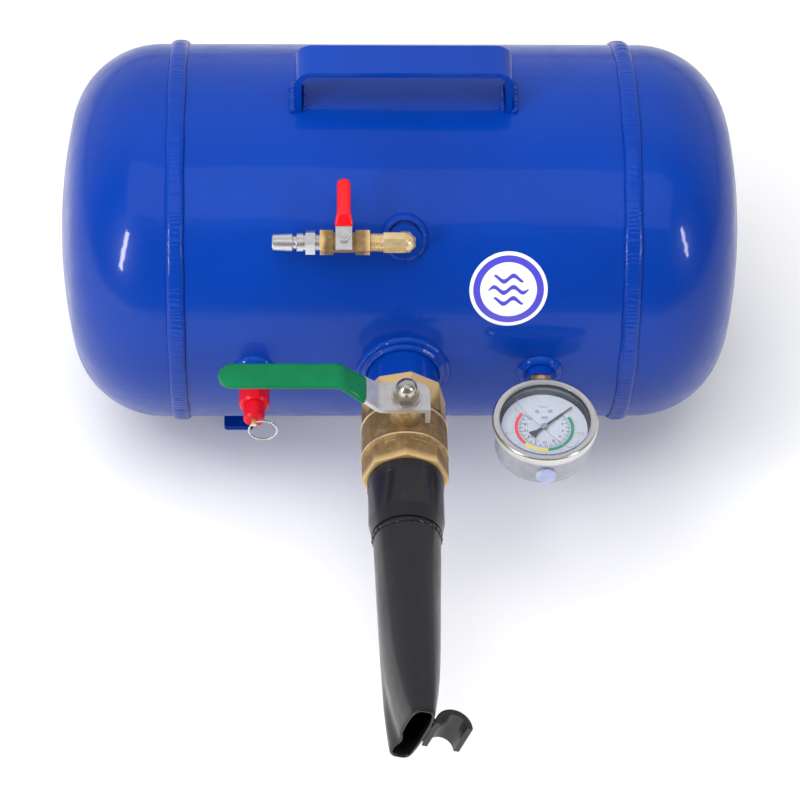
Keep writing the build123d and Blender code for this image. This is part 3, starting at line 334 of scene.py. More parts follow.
NODE_MATERIALS = {
    BLUE: "tank_shell tank_head_left tank_head_right seam_weld_left seam_weld_right handle "
    "handle_welds foot_left foot_right foot_welds outlet_nipple outlet_weld gauge_boss "
    "safety_boss inlet_boss boss_welds",
    BLACK: "nozzle_pipe nozzle_tube nozzle_weld rim_hook",
    CAST: "valve_body valve_adapter inlet_valve_body gauge_socket",
    TURNED: "gland_nut valve_stem gauge_movement bourdon_tube gauge_pinion "
    "gauge_sector safety_body safety_stem inlet_elbow inlet_valve_insert",
    ZINC: "inlet_lever inlet_lever_nut inlet_stem quick_plug safety_spring",
    LEVER_STEEL: "valve_lever",
    NUT_STEEL: "lever_nut",
    STAINLESS: "gauge_bezel pull_ring valve_ball inlet_ball",
    CASE_STEEL: "gauge_case",
    GREEN: "lever_grip",
    RED: "inlet_lever_grip",
    RED_CAP: "safety_cap",
    PTFE: "ball_seats inlet_ball_seats stem_packing",
    RUBBER: "gauge_gasket safety_seal",
    PLUG_RUBBER: "gauge_fill_plug",
    GLASS: "gauge_window",
    DIAL: "gauge_dial",
    BLACK_INK: "gauge_pointer",
    LABEL_WHITE: "label",
}


def paint_nodes():
    """Every CAD node gets its finished material."""
    for material, names in NODE_MATERIALS.items():
        for name in names.split():
            mesh = nodes[name].data
            mesh.materials.clear()
            mesh.materials.append(material)


# ---------------------------------------------------------------- mesh helpers
def finish_mesh(bm, name, material, body="tank", slot=None, smooth=35.0):
    """Turn a bmesh into a piece that rides on a body."""
    bmesh.ops.recalc_face_normals(bm, faces=bm.faces[:])
    mesh = bpy.data.meshes.new(name)
    bm.to_mesh(mesh)
    bm.free()
    mesh.materials.append(material)
    piece = bpy.data.objects.new(name, mesh)
    bpy.context.scene.collection.objects.link(piece)
    mesh.shade_smooth()
    if smooth < 180:
        mesh.set_sharp_from_angle(angle=math.radians(smooth))
    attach(piece, body)
    return piece


def grid_faces(bm, rings, close_path=False):
    """Faces between closed rings of vertices; each ring is a list of points."""
    rows = [[bm.verts.new(point) for point in ring] for ring in rings]
    pairs = list(zip(rows, rows[1:]))
    if close_path:
        pairs.append((rows[-1], rows[0]))
    count = len(rows[0])
    for first, second in pairs:
        for i in range(count):
            j = (i + 1) % count
            bm.faces.new((first[i], first[j], second[j], second[i]))
    return rows


def capped_faces(bm, rings):
    """Faces between rings, with a flat face on the first ring and on the last."""
    rows = grid_faces(bm, rings)
    bm.faces.new(rows[0])
    bm.faces.new(rows[-1])


class Place:
    """A local frame: across, up and out directions at a point."""

    def __init__(self, origin, across, out):
        self.origin = Vector(origin)
        self.out = Vector(out).normalized()
        self.across = Vector(across).normalized()
        self.up = self.out.cross(self.across)

    def at(self, x, y, z):
        return self.origin + self.across * x + self.up * y + self.out * z


def in_metres(points):
    """Points given in millimetres, in metres."""
    return [(a * MM, b * MM) for a, b in points]


def lathe(name, place, outline, material, segments, **kwargs):
    """Turn a closed outline of (radius, height) points about a place's out direction."""
    bm = bmesh.new()
    rings = []
    for radius, height in outline:
        ring = []
        for i in range(segments):
            angle = 2 * math.pi * i / segments
            ring.append(place.at(radius * math.cos(angle), radius * math.sin(angle), height))
        rings.append(ring)
    grid_faces(bm, rings, close_path=True)
    bmesh.ops.remove_doubles(bm, verts=bm.verts[:], dist=1e-7)
    return finish_mesh(bm, name, material, **kwargs)


# ---------------------------------------------------------------- tank
FRONT = Place((0, AXIS_Y, AXIS_Z), (1, 0, 0), (0, -1, 0))
ALONG = Place((0, AXIS_Y, AXIS_Z), (0, 1, 0), (1, 0, 0))


SHELL_WALL = 3 * MM
KNUCKLE_R = 60 * MM
CROWN_R = 350 * MM
TANK_SEGMENTS = 256


def head_outline(side, wall):
    """A torispherical head from its seam to its apex, outside then inside."""
    knuckle, crown = KNUCKLE_R, CROWN_R
    steps = 24
    crown_x = HEAD_END - crown
    knuckle_y = TANK_R - knuckle
    knuckle_x = crown_x + math.sqrt((crown - knuckle) ** 2 - knuckle_y**2)
    blend = math.atan2(knuckle_y, knuckle_x - crown_x)
    outer = [(TANK_R, SEAM_X), (TANK_R, lerp(SEAM_X, knuckle_x, 0.5))]
    inner = []
    for inset, points in ((0, outer), (wall, inner)):
        for i in range(steps + 1):
            angle = lerp(math.pi / 2, blend, i / steps)
            radius = knuckle - inset
            points.append(
                (knuckle_y + radius * math.sin(angle), knuckle_x + radius * math.cos(angle))
            )
        for i in range(1, steps + 1):
            angle = blend * (1 - i / steps)
            radius = crown - inset
            points.append((max(radius * math.sin(angle), 1e-6), crown_x + radius * math.cos(angle)))
    inner.insert(0, (TANK_R - wall, SEAM_X))
    return [(radius, side * x) for radius, x in outer + inner[::-1]]


def tank_pieces():
    """The shell and its two dished heads, finely faceted."""
    steps = 40
    inner_r = TANK_R - SHELL_WALL
    shell = [(TANK_R, -SEAM_X + (2 * SEAM_X) * i / steps) for i in range(steps + 1)]
    shell += [(inner_r, SEAM_X), (inner_r, -SEAM_X)]
    piece = lathe("tank_barrel", ALONG, shell, BLUE, TANK_SEGMENTS, slot="blue_paint")
    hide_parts("tank_shell")
    for side, word in ((1, "right"), (-1, "left")):
        outline = head_outline(side, SHELL_WALL)
        name = f"dished_head_{word}"
        piece = lathe(name, ALONG, outline, BLUE, TANK_SEGMENTS, slot="blue_paint")
        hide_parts(f"tank_head_{word}")


def unevenness(run, seed):
    """How full a weld is at a distance along it in millimetres, between 0 and 1."""
    beat = 0.5 + 0.5 * math.cos(run * 2 * math.pi / 2.3 + seed + math.sin(run * 0.4))
    drift = 0.5 + 0.5 * math.sin(run * 0.071 + seed * 2.3) * math.cos(run * 0.023)
    swell = 0.5 + 0.5 * math.sin(run * 0.47 + 2 * math.sin(run * 0.19))
    crest = beat**3 * (0.35 + 0.65 * swell)
    return 0.45 * crest + 0.25 * drift + 0.30 * swell


SEAM_HALF_WIDTH = 6.75 * MM
SEAM_HEIGHT = 2.8 * MM
SEAM_SINK = 0.6 * MM
POOL_DEPTH = 0.8 * MM
POOL_PITCH_MM = 3.1


def seam_lift(run, across, fullness):
    """A seam bead's height over the tank: a flat-topped run with the ripples of each pool."""
    top = SEAM_HEIGHT * (1 - across**4) ** 0.9 * (0.86 + 0.06 * fullness)
    phase = math.pi * run / POOL_PITCH_MM + 0.8 * across**2 + 0.9 * math.sin(run * 0.31 + across)
    crest = abs(math.sin(phase)) ** 0.7 - 0.5
    top += POOL_DEPTH * crest * fullness * math.exp(-((across / 0.55) ** 4))
    return top - (SEAM_SINK if abs(across) == 1 else 0)


def seam_ring(angle, side):
    """One section across a seam bead, from edge to edge."""
    run = angle * TANK_R / MM
    fullness = unevenness(run, side)
    width = SEAM_HALF_WIDTH * (0.94 + 0.05 * math.sin(run * 0.11) * math.cos(run * 0.037 + side))
    width += 0.12 * MM * math.sin(run * 0.9 + 3 * math.sin(run * 0.23))
    steps = 12
    ring = []
    for j in range(steps + 1):
        across = -1 + 2 * j / steps
        turn = angle + 1.4 * across * across / TANK_R * MM
        radius = TANK_R + seam_lift(run, across, fullness)
        place = side * SEAM_X + across * width
        ring.append(ALONG.at(radius * math.cos(turn), radius * math.sin(turn), place))
    return ring


def seam_welds():
    """Rippled weld beads where the heads meet the shell."""
    segments = 1500
    for side, word in ((1, "right"), (-1, "left")):
        bm = bmesh.new()
        rings = [seam_ring(2 * math.pi * i / segments, side) for i in range(segments)]
        grid_faces(bm, rings, close_path=True)
        piece = finish_mesh(bm, f"seam_bead_{word}", BLUE, slot="blue_paint", smooth=180)
        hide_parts(f"seam_weld_{word}")


def port_weld(name, place, inner, outer, height, seed, lumps=11, passes=1):
    """A lumpy fillet weld between a round port and the tank, in one or more passes."""
    bm = bmesh.new()
    rings = []
    segments, last = 220, 15
    for i in range(segments):
        angle = 2 * math.pi * i / segments
        c, s = math.cos(angle), math.sin(angle)
        beat = 0.5 + 0.5 * math.cos(lumps * angle + seed)
        small = 0.5 + 0.5 * math.cos(4 * lumps * angle + 2 * seed)
        toe = outer * (0.985 + 0.02 * math.sin(2 * angle + seed) + 0.012 * beat)
        ring = []
        for j in range(last + 1):
            share = j / last
            radius = lerp(inner, toe, share)
            surface = math.sqrt(TANK_R**2 - (radius * s) ** 2)
            crown = height * (1 - share) ** 0.85
            belly = 1.5 * MM * abs(math.sin(math.pi * passes * share)) * (0.78 + 0.22 * beat)
            belly += 0.12 * MM * small
            lift = (crown + belly) if j < last else -0.8 * MM
            ring.append(place.at(radius * c, radius * s, surface + lift))
        ring.append(place.at(inner * c, inner * s, math.sqrt(TANK_R**2 - (inner * s) ** 2) - MM))
        rings.append(ring)
    grid_faces(bm, rings, close_path=True)
    return finish_mesh(bm, name, BLUE, slot="blue_paint", smooth=180)


def port_place(x, elevation):
    """A place on the tank's axis that looks out through a port."""
    angle = math.radians(elevation)
    return Place((x, AXIS_Y, AXIS_Z), (1, 0, 0), (0, -math.cos(angle), math.sin(angle)))


def port_welds():
    """The two-pass weld round the outlet and the welds of the three small bosses."""
    outlet_r, outlet_toe, outlet_height = 22.9 * MM, 31.2 * MM, 4.2 * MM
    front_r, front_toe = 9.5 * MM, 15.3 * MM
    inlet_r, inlet_toe, inlet_elevation = 10.9 * MM, 15.9 * MM, 45
    height = 3.4 * MM
    piece = port_weld(
        "outlet_bead", port_place(0, 0), outlet_r, outlet_toe, outlet_height, 0.4, 17, passes=2
    )
    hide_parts("outlet_weld")
    inlet = port_place(0, inlet_elevation)
    beads = [
        port_weld("gauge_bead", port_place(GAUGE.x, 0), front_r, front_toe, height, 1.1),
        port_weld("safety_bead", port_place(SAFETY.x, 0), front_r, front_toe, height, 2.7),
        port_weld("inlet_bead", inlet, inlet_r, inlet_toe, height, 4.2),
    ]
    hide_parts("boss_welds")


# ---------------------------------------------------------------- swept and lathed details
def filleted(points, radius, steps=6):
    """A flat route of (reach, height) with its corners rounded."""
    route = [Vector(points[0])]
    for before, corner, after in zip(points, points[1:], points[2:]):
        corner = Vector(corner)
        back = (Vector(before) - corner).normalized()
        on = (Vector(after) - corner).normalized()
        half = back.angle(on) / 2
        run = radius / math.tan(half)
        middle = corner + (back + on).normalized() * (radius / math.sin(half))
        start, end = corner + back * run - middle, corner + on * run - middle
        for i in range(steps + 1):
            route.append(middle + start.slerp(end, i / steps).normalized() * radius)
    route.append(Vector(points[-1]))
    return route


def clipped(route, start):
    """The part of a route beyond a reach, cut exactly there."""
    kept = []
    for a, b in zip(route, route[1:]):
        if b.x <= start:
            continue
        if a.x < start:
            kept.append(a.lerp(b, (start - a.x) / (b.x - a.x)))
        elif not kept:
            kept.append(a)
        kept.append(b)
    return kept


def resampled(route, count):
    """Evenly spaced points along a route, with the direction at each."""
    lengths = [0.0]
    for a, b in zip(route, route[1:]):
        lengths.append(lengths[-1] + (b - a).length)
    places = []
    for i in range(count):
        want = lengths[-1] * i / (count - 1)
        j = max(k for k in range(len(route) - 1) if lengths[k] <= want + 1e-12)
        share = (want - lengths[j]) / max(lengths[j + 1] - lengths[j], 1e-12)
        places.append((route[j].lerp(route[j + 1], share), (route[j + 1] - route[j]).normalized()))
    return places, lengths[-1]


def superellipse(count, half_wide, half_tall, power):
    """Points round a rounded rectangle; power 2 is an ellipse and more is squarer."""
    points = []
    for i in range(count):
        angle = 2 * math.pi * i / count
        c, s = math.cos(angle), math.sin(angle)
        wide = half_wide * math.copysign(abs(c) ** (2 / power), c)
        tall = half_tall * math.copysign(abs(s) ** (2 / power), s)
        points.append((wide, tall))
    return points


def dipped_grip(name, place, route, widths, thick, material, body, slot):
    """A vinyl grip along a lever: widths is (at the root, along the blade, where it narrows)."""
    count = 72
    places, length = resampled(route, count)
    root_w, blade_w, narrow = widths
    bm = bmesh.new()
    rings = []
    for i, (point, tangent) in enumerate(places):
        run = length * i / (count - 1)
        share = min(run / narrow, 1.0)
        width = lerp(root_w, blade_w, share * share * (3 - 2 * share))
        left = length - run
        tip = math.sqrt(max(1 - max(1 - left / (blade_w / 2), 0.0) ** 2, 0.0))
        mouth = 0.93 + 0.07 * min(run / (1.2 * MM), 1.0)
        half_wide = max(width / 2 * tip * mouth, 0.05 * MM)
        half_tall = thick / 2 * max(min(left / (1.6 * MM), 1.0) ** 0.5, 0.1) * mouth
        normal = Vector((-tangent.y, tangent.x))
        ring = []
        for wide, tall in superellipse(32, half_wide, half_tall, 3.6):
            flat = point + normal * tall
            ring.append(place.at(flat.x, wide, flat.y))
        rings.append(ring)
    capped_faces(bm, rings)
    return finish_mesh(bm, name, material, body=body, slot=slot, smooth=60)


def thread(name, place, radius, start, pitch, turns, depth, material, slot=None):
    """A raised helical thread on a round spigot, running out at both ends."""
    bm = bmesh.new()
    steps = 64
    total = int(turns * steps)
    rings = []
    for i in range(total + 1):
        angle = 2 * math.pi * i / steps
        height = start + pitch * i / steps
        fade = min(1.0, i / 10, (total - i) / 10)
        crest = max(depth * fade, 0.02 * MM)
        ring = []
        for along, lift in ((-0.44, -0.1 * MM), (-0.1, crest), (0.1, crest), (0.44, -0.1 * MM)):
            r = radius + lift
            ring.append(
                place.at(r * math.cos(angle), r * math.sin(angle), height + along * pitch)
            )
        rings.append(ring)
    capped_faces(bm, rings)
    return finish_mesh(bm, name, material, slot=slot, smooth=50)


BEAD_FLATNESS = 0.75


def weld_run(name, points, radius, seed, material=BLUE, slot="blue_paint"):
    """A lumpy bead along a route, with the ripples of each pool."""
    places, length = resampled([Vector(p) for p in points], 10 * len(points))
    bm = bmesh.new()
    rings = []
    last = len(places) - 1
    for i, (point, tangent) in enumerate(places):
        run = length * i / last / MM
        beat = 0.5 + 0.5 * math.cos(2 * math.pi * run / 3.4 + seed)
        wander = math.sin(run * 0.61 + seed * 3) * 0.12
        end = math.sqrt(max(min(i, last - i) / 3, 0.02)) if min(i, last - i) < 3 else 1.0
        size = radius * end * (0.86 + 0.16 * beat + wander)
        side = tangent.orthogonal().normalized()
        other = tangent.cross(side)
        ring = []
        sides = 14
        for k in range(sides):
            angle = 2 * math.pi * k / sides
            offset = side * math.cos(angle) + other * math.sin(angle) * BEAD_FLATNESS
            ring.append(point + offset * size)
        rings.append(ring)
    capped_faces(bm, rings)
    return finish_mesh(bm, name, material, slot=slot, smooth=180)


# ---------------------------------------------------------------- handle and feet
def handle_beads():
    """Blobby welds where the handle's legs stand on the tank."""
    low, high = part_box("handle")
    half = (high[1] - low[1]) / 2
    for side, word in ((1, "right"), (-1, "left")):
        foot_x = high[0] if side > 0 else low[0]
        for offset, part in ((1.6, "outer"), (-5.4, "inner")):
            points = []
            for i in range(9):
                y = lerp(-half - 0.5 * MM, half + 0.5 * MM, i / 8)
                if part == "inner":
                    y *= 0.9
                z = math.sqrt(TANK_R**2 - y * y) + 0.6 * MM
                points.append((foot_x + side * offset * MM, AXIS_Y + y, AXIS_Z + z))
            size = 3.1 * MM if part == "outer" else 1.7 * MM
            weld_run(f"handle_bead_{part}_{word}", points, size, side * 1.3 + offset)
    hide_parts("handle_welds")


def foot_beads():
    """The runs of weld along both sides of each foot's saddle."""
    for word in ("left", "right"):
        low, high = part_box(f"foot_{word}")
        for edge, part in ((low[0] - 1.2 * MM, "outer"), (high[0] + 1.2 * MM, "inner")):
            points = []
            for i in range(7):
                y = lerp(-12 * MM, 12 * MM, i / 6)
                z = math.sqrt(TANK_R**2 - y * y) + 0.5 * MM
                points.append((edge, AXIS_Y + y, AXIS_Z - z))
            weld_run(f"foot_bead_{part}_{word}", points, 2.4 * MM, edge * 90)
    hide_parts("foot_welds")


# ---------------------------------------------------------------- nozzle
NOZZLE_LOW, NOZZLE_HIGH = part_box("nozzle_tube")
NOZZLE_START = AXIS_Y - NOZZLE_HIGH[1]
NOZZLE_LENGTH = NOZZLE_HIGH[1] - NOZZLE_LOW[1]
NOZZLE_R = 21.3 * MM
MOUTH_LONG = 52.0 * MM
MOUTH_WIDE = 18.1 * MM
MOUTH_TILT = math.radians(17.5)
MOUTH_SHIFT = Vector((0.2 * MM, -3.8 * MM))


def tube_ring(share, inset):
    """The nozzle tube's outline at one place: round at the weld, a hammered slot at the mouth."""
    flatten = 0.45 * share + 0.55 * share**6
    long = NOZZLE_R + (MOUTH_LONG / 2 - NOZZLE_R) * share - inset
    wide = NOZZLE_R - (NOZZLE_R - MOUTH_WIDE / 2) * flatten - inset
    power = 1 - 0.4 * share**4
    late = share**5
    pinch = share**3
    sides = 72
    ring = []
    for i in range(sides):
        angle = 2 * math.pi * i / sides
        c, s = math.cos(angle), math.sin(angle)
        waist = 1 - 0.12 * late * (1 - s * s) + 0.02 * late * math.sin(5 * angle + 1)
        x = wide * math.copysign(abs(c) ** power, c) * waist
        z = long * math.copysign(abs(s) ** power, s)
        if c < 0:
            x += 2.6 * MM * pinch * math.exp(-(((z + 8 * MM) / (5.5 * MM)) ** 2))
        turned_x = x * math.cos(MOUTH_TILT) + z * math.sin(MOUTH_TILT)
        turned_z = z * math.cos(MOUTH_TILT) - x * math.sin(MOUTH_TILT)
        dent = 0.35 * MM * math.sin(9 * share + 2 * angle) * share * (1 - share)
        ring.append(
            (turned_x + MOUTH_SHIFT.x * share + dent, turned_z + MOUTH_SHIFT.y * share)
        )
    return ring


def blast_tube():
    """The flattened tube with its rounded lip, outside and then inside."""
    wall = 2.2 * MM
    stations = [(i / 48, 0.0) for i in range(48)]
    stations += [(0.994, 0.05 * MM)]
    stations += [(0.999, 0.5 * MM), (1.0, wall / 2), (0.999, wall - 0.4 * MM), (0.992, wall)]
    stations += [(i / 24, wall) for i in range(23, -1, -1)]
    bm = bmesh.new()
    rings = []
    for share, inset in stations:
        forward = NOZZLE_START + NOZZLE_LENGTH * share
        rings.append([FRONT.at(x, z, forward) for x, z in tube_ring(share, inset)])
    grid_faces(bm, rings, close_path=True)
    piece = finish_mesh(bm, "blast_tube", BLACK, slot="black_paint", smooth=60)
    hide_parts("nozzle_tube")


def collar_bead():
    """The weld between the pipe and the tube."""
    bm = bmesh.new()
    rings = []
    segments = 260
    for i in range(segments):
        angle = 2 * math.pi * i / segments
        beat = 0.5 + 0.5 * math.cos(31 * angle + 0.8 * math.sin(3 * angle))
        wide = 2.3 * MM * (0.9 + 0.1 * math.sin(4 * angle))
        ring = []
        for k in range(9):
            across = -1 + k / 4
            lift = 1.25 * MM * (1 - across * across) * (0.75 + 0.25 * beat)
            r = NOZZLE_R - 0.1 * MM + lift
            height = NOZZLE_START + 2.2 * MM + across * wide + 0.3 * MM * beat
            ring.append(FRONT.at(r * math.cos(angle), r * math.sin(angle), height))
        rings.append(ring)
    grid_faces(bm, rings, close_path=True)
    piece = finish_mesh(bm, "collar_bead", BLACK, slot="black_paint", smooth=180)
    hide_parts("nozzle_weld")


def hook_beads():
    """The two short welds that hold the rim hook to the tube's mouth."""
    along = Vector((math.sin(MOUTH_TILT), 0, math.cos(MOUTH_TILT)))
    across = Vector((math.cos(MOUTH_TILT), 0, -math.sin(MOUTH_TILT)))
    mouth = FRONT.at(MOUTH_SHIFT.x, MOUTH_SHIFT.y, NOZZLE_START + NOZZLE_LENGTH)
    for forward, word in ((1.9 * MM, "front"), (5.4 * MM, "back")):
        base = mouth + across * (MOUTH_WIDE / 2 + 0.3 * MM) + Vector((0, forward, 0))
        points = [base + along * (2.5 * MM + 2.3 * MM * i) for i in range(-4, 5)]
        weld_run(f"hook_bead_{word}", points, 1.5 * MM, forward * 900, BLACK, "black_paint")


def pipe_thread():
    """The last turns of the pipe's thread, in front of the valve."""
    root_r, pitch, turns, depth = 23.8 * MM, 1.9 * MM, 3.8, 0.5 * MM
    start = AXIS_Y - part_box("valve_adapter")[0][1] + 0.8 * MM
    thread("pipe_thread", FRONT, root_r, start, pitch, turns, depth, BLACK, "black_paint")


# ---------------------------------------------------------------- main valve
def barrel_edges():
    """The bright turned edges of the valve's barrel."""
    profile = [(27.2, 0), (27.9, 0.3), (28.0, 0.9), (27.7, 1.5), (27.2, 1.7)]
    for from_pivot, word in ((-10.6, "back"), (13.0, "front")):
        base = AXIS_Y - PIVOT.y + from_pivot * MM
        outline = [(radius, base + height) for radius, height in in_metres(profile)]
        lathe(f"barrel_edge_{word}", FRONT, outline, TURNED, 128, slot="brass")


def main_grip():
    """The dipped grip along the main lever's cranked blade."""
    lever = Place((PIVOT.x, PIVOT.y, AXIS_Z), (-1, 0, 0), (0, 0, 1))
    low, high, bend_start, bend_end, tip, bend_r, grip_start = 44.5, 65.5, 18, 42, 117.3, 8.5, 26.5
    corners = [(0, low), (bend_start, low), (bend_end, high), (tip, high)]
    route = [p * MM for p in clipped(filleted(corners, bend_r), grip_start)]
    widths, thick = (21.6 * MM, 19 * MM, 13 * MM), 5.2 * MM
    piece = dipped_grip(
        "main_lever_grip", lever, route, widths, thick, GREEN, "main_lever", "green_vinyl"
    )
    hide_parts("lever_grip")


# ---------------------------------------------------------------- air inlet
ARM = Place(MINI_PIVOT, (0, 0, 1), (-1, 0, 0))


def inlet_grip():
    """The moulded grip along the small lever's cranked blade."""
    back = Vector((1, 0, 0)).cross(MINI_UP)
    if back.y < 0:
        back = -back
    lever = Place(MINI_PIVOT, back, MINI_UP)
    low, high, bend_start, bend_end, tip, bend_r, grip_start = 10.75, 14.25, 7.5, 14, 37.4, 2.75, 7
    corners = [(0, low), (bend_start, low), (bend_end, high), (tip, high)]
    route = [p * MM for p in clipped(filleted(corners, bend_r), grip_start)]
    widths, thick = (11.6 * MM, 8.6 * MM, 11 * MM), 4.2 * MM
    piece = dipped_grip(
        "inlet_grip", lever, route, widths, thick, RED, "inlet_lever", "red_vinyl"
    )
    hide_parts("inlet_lever_grip")


def inlet_threads():
    """The threads that show each side of the small valve."""
    thread("elbow_thread", ARM, 5.45 * MM, -24.6 * MM, 1.25 * MM, 6.2, 0.45 * MM, TURNED, "brass")
    thread("plug_thread", ARM, 4.9 * MM, 15.4 * MM, 1.1 * MM, 2.4, 0.4 * MM, ZINC, "zinc_steel")


# ---------------------------------------------------------------- safety valve
def pull_ring():
    """A flat split ring of two turns in the safety valve's pin."""
    hinge = Vector(joints["ring_swing"]["pos_m"])
    low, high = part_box("pull_ring")
    centre = centre_of("pull_ring")
    radius = (high[0] - low[0]) / 2 - 0.65 * MM
    half_depth = 0.42 * MM
    start = math.atan2(hinge.z - centre.z, hinge.x - centre.x)
    bm = bmesh.new()
    rings = []
    turns, steps = 1.9, 96
    total = int(turns * steps)
    for i in range(total + 1):
        angle = start + 0.5 + 2 * math.pi * i / steps
        depth = lerp(-half_depth, half_depth, i / total)
        out = Vector((math.cos(angle), 0, math.sin(angle)))
        ring = []
        for wide, tall in superellipse(10, 0.55 * MM, 0.36 * MM, 3):
            ring.append(centre + out * (radius + wide) + Vector((0, depth + tall, 0)))
        rings.append(ring)
    capped_faces(bm, rings)
    piece = finish_mesh(bm, "split_ring", STAINLESS, "pull_ring", slot="stainless", smooth=60)
    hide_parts("pull_ring")


# ---------------------------------------------------------------- gauge
DIAL_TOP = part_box("gauge_dial")[1][2]
DIAL_PLACE = Place((GAUGE.x, GAUGE.y, DIAL_TOP), (1, 0, 0), (0, 0, 1))
SCALE_START = 41
SCALE_SWEEP = 262


def polar(radius, degrees_):
    """A point on the dial from its radius in millimetres and its angle."""
    angle = math.radians(degrees_)
    return radius * MM * math.cos(angle), radius * MM * math.sin(angle)


def dial_arc(name, start, end, material):
    """A coloured band round part of the dial."""
    bm = bmesh.new()
    steps = max(4, int(abs(end - start) / 3))
    rings = []
    for i in range(steps + 1):
        angle = lerp(start, end, i / steps)
        corners = ((16.9, 0.04), (19.1, 0.04), (19.1, 0.12), (16.9, 0.12))
        ring = []
        for radius, height in corners:
            x, y = polar(radius, angle)
            ring.append(DIAL_PLACE.at(x, y, height * MM))
        rings.append(ring)
    capped_faces(bm, rings)
    finish_mesh(bm, name, material, smooth=30)


def ticks(name, count, major, inner, outer, minor_outer, width, material):
    """Radial marks as thin raised bars."""
    bm = bmesh.new()
    for i in range(count + 1):
        angle = SCALE_START - SCALE_SWEEP * i / count
        big = i % major == 0
        reach = outer if big else minor_outer
        half = (width if big else 0.7 * width) / 2
        a, b = polar(inner, angle), polar(reach, angle)
        nx, ny = polar(half, angle + 90)
        base = [(a[0] - nx, a[1] - ny), (b[0] - nx, b[1] - ny)]
        base += [(b[0] + nx, b[1] + ny), (a[0] + nx, a[1] + ny)]
        rings = [[DIAL_PLACE.at(x, y, h * MM) for x, y in base] for h in (0.02, 0.08)]
        capped_faces(bm, rings)
    finish_mesh(bm, name, material, smooth=30)


def dial_text(name, text, x, y, size, material):
    """Small lettering that reads with the gauge's connection at its foot."""
    curve = bpy.data.curves.new(name, "FONT")
    curve.body = text
    curve.size = size * MM
    curve.align_x = "CENTER"
    curve.align_y = "CENTER"
    curve.extrude = 0.03 * MM
    curve.materials.append(material)
    piece = bpy.data.objects.new(name, curve)
    bpy.context.scene.collection.objects.link(piece)
    place = DIAL_PLACE.at(x, y, 0.06 * MM)
    piece.matrix_world = Matrix.Translation(place) @ Matrix.Rotation(math.pi, 4, "Z")
    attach(piece, "tank")


def dial_print():
    """The gauge's printed scales: a coloured band, inner and outer marks, and numbers."""
    green = printed("dial_green", (0.0, 0.25, 0.12))
    yellow = printed("dial_yellow", (0.75, 0.62, 0.05))
    red = printed("dial_red", (0.72, 0.05, 0.06))
    tan = printed("dial_tan", (0.45, 0.27, 0.12))
    dial_arc("dial_band_green", 29, -85, green)
    dial_arc("dial_band_yellow", -85, -135, yellow)
    dial_arc("dial_band_red", -135, -221, red)
    ticks("dial_marks_inner", 60, 3, 16.5, 13.6, 14.8, 0.42, BLACK_INK)
    ticks("dial_marks_outer", 40, 4, 19.5, 21.6, 20.6, 0.42, tan)
    for i in range(11):
        x, y = polar(11.9, SCALE_START - SCALE_SWEEP * i / 10)
        dial_text(f"dial_number_{2 * i}", str(2 * i), x, y, 3.1, BLACK_INK)
    for i in range(6):
        x, y = polar(23.6, SCALE_START - SCALE_SWEEP * i / 5)
        dial_text(f"dial_outer_{i}", f"{0.4 * i:g}", x, y, 3.3, tan)
    dial_text("dial_unit_outer", "MPa", 0, 17.6 * MM, 3.2, tan)
    dial_text("dial_unit_inner", "bar", 0, 8.2 * MM, 3.4, BLACK_INK)


def dial_screws():
    """The two screws that hold the dial."""
    shape = [(0.01, 0), (1.3, 0), (1.3, 0.35), (0.9, 0.6), (0.01, 0.6)]
    for side, word in ((-1, "left"), (1, "right")):
        centre = DIAL_PLACE.at(side * 4.2 * MM, 13.2 * MM, 0)
        place = Place(centre, (1, 0, 0), (0, 0, 1))
        lathe(f"dial_screw_{word}", place, in_metres(shape), ZINC, 24)


def rolled_bezel():
    """The gauge's bezel, rolled over the window."""
    low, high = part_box("gauge_bezel")
    radius = (high[0] - low[0]) / 2 / MM
    base, top = (low[2] - AXIS_Z) / MM, (high[2] - AXIS_Z) / MM
    place = Place((GAUGE.x, GAUGE.y, AXIS_Z), (1, 0, 0), (0, 0, 1))
    profile = [
        (radius - 1.2, base), (radius - 0.4, base), (radius - 0.1, base + 0.3),
        (radius, base + 0.9), (radius, top - 1.9), (radius - 0.15, top - 1.1),
        (radius - 0.5, top - 0.5), (radius - 1.0, top - 0.12), (radius - 1.7, top),
        (radius - 4.3, top - 0.12), (radius - 4.8, top - 0.4), (radius - 5.0, top - 0.8),
        (radius - 5.0, top - 1.15), (radius - 1.2, top - 1.15),
    ]
    outline = in_metres(profile)
    piece = lathe("rolled_bezel", place, outline, STAINLESS, 192, slot="stainless", smooth=30)
    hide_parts("gauge_bezel")


def needle_hub():
    """The turned cap over the needle's spindle."""
    pointer_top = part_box("gauge_pointer")[1][2]
    hub = Place((GAUGE.x, GAUGE.y, pointer_top), (1, 0, 0), (0, 0, 1))
    shape = [(0.01, -0.3), (2.0, -0.3), (2.0, 0.2), (1.8, 0.4), (1.1, 0.5), (1.0, 0.9), (0.01, 1.0)]
    lathe("needle_hub", hub, in_metres(shape), NUT_STEEL, 48, body="gauge_needle")


def bubble_line():
    """The edge of the air bubble in the filling, under the glass."""
    glass_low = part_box("gauge_window")[0][2]
    line = [(-17, 19.5), (-16, 15), (-12.5, 8.5), (-7, 1.5), (0, -6.5), (7, -14.5)]
    line += [(11.5, -19), (15, -20.5), (18, -19), (21, -15)]
    route = [
        Vector((GAUGE.x + x * MM, GAUGE.y + y * MM, glass_low - 0.45 * MM)) for x, y in line
    ]
    smooth_line(route, "bubble_line", 0.22 * MM)


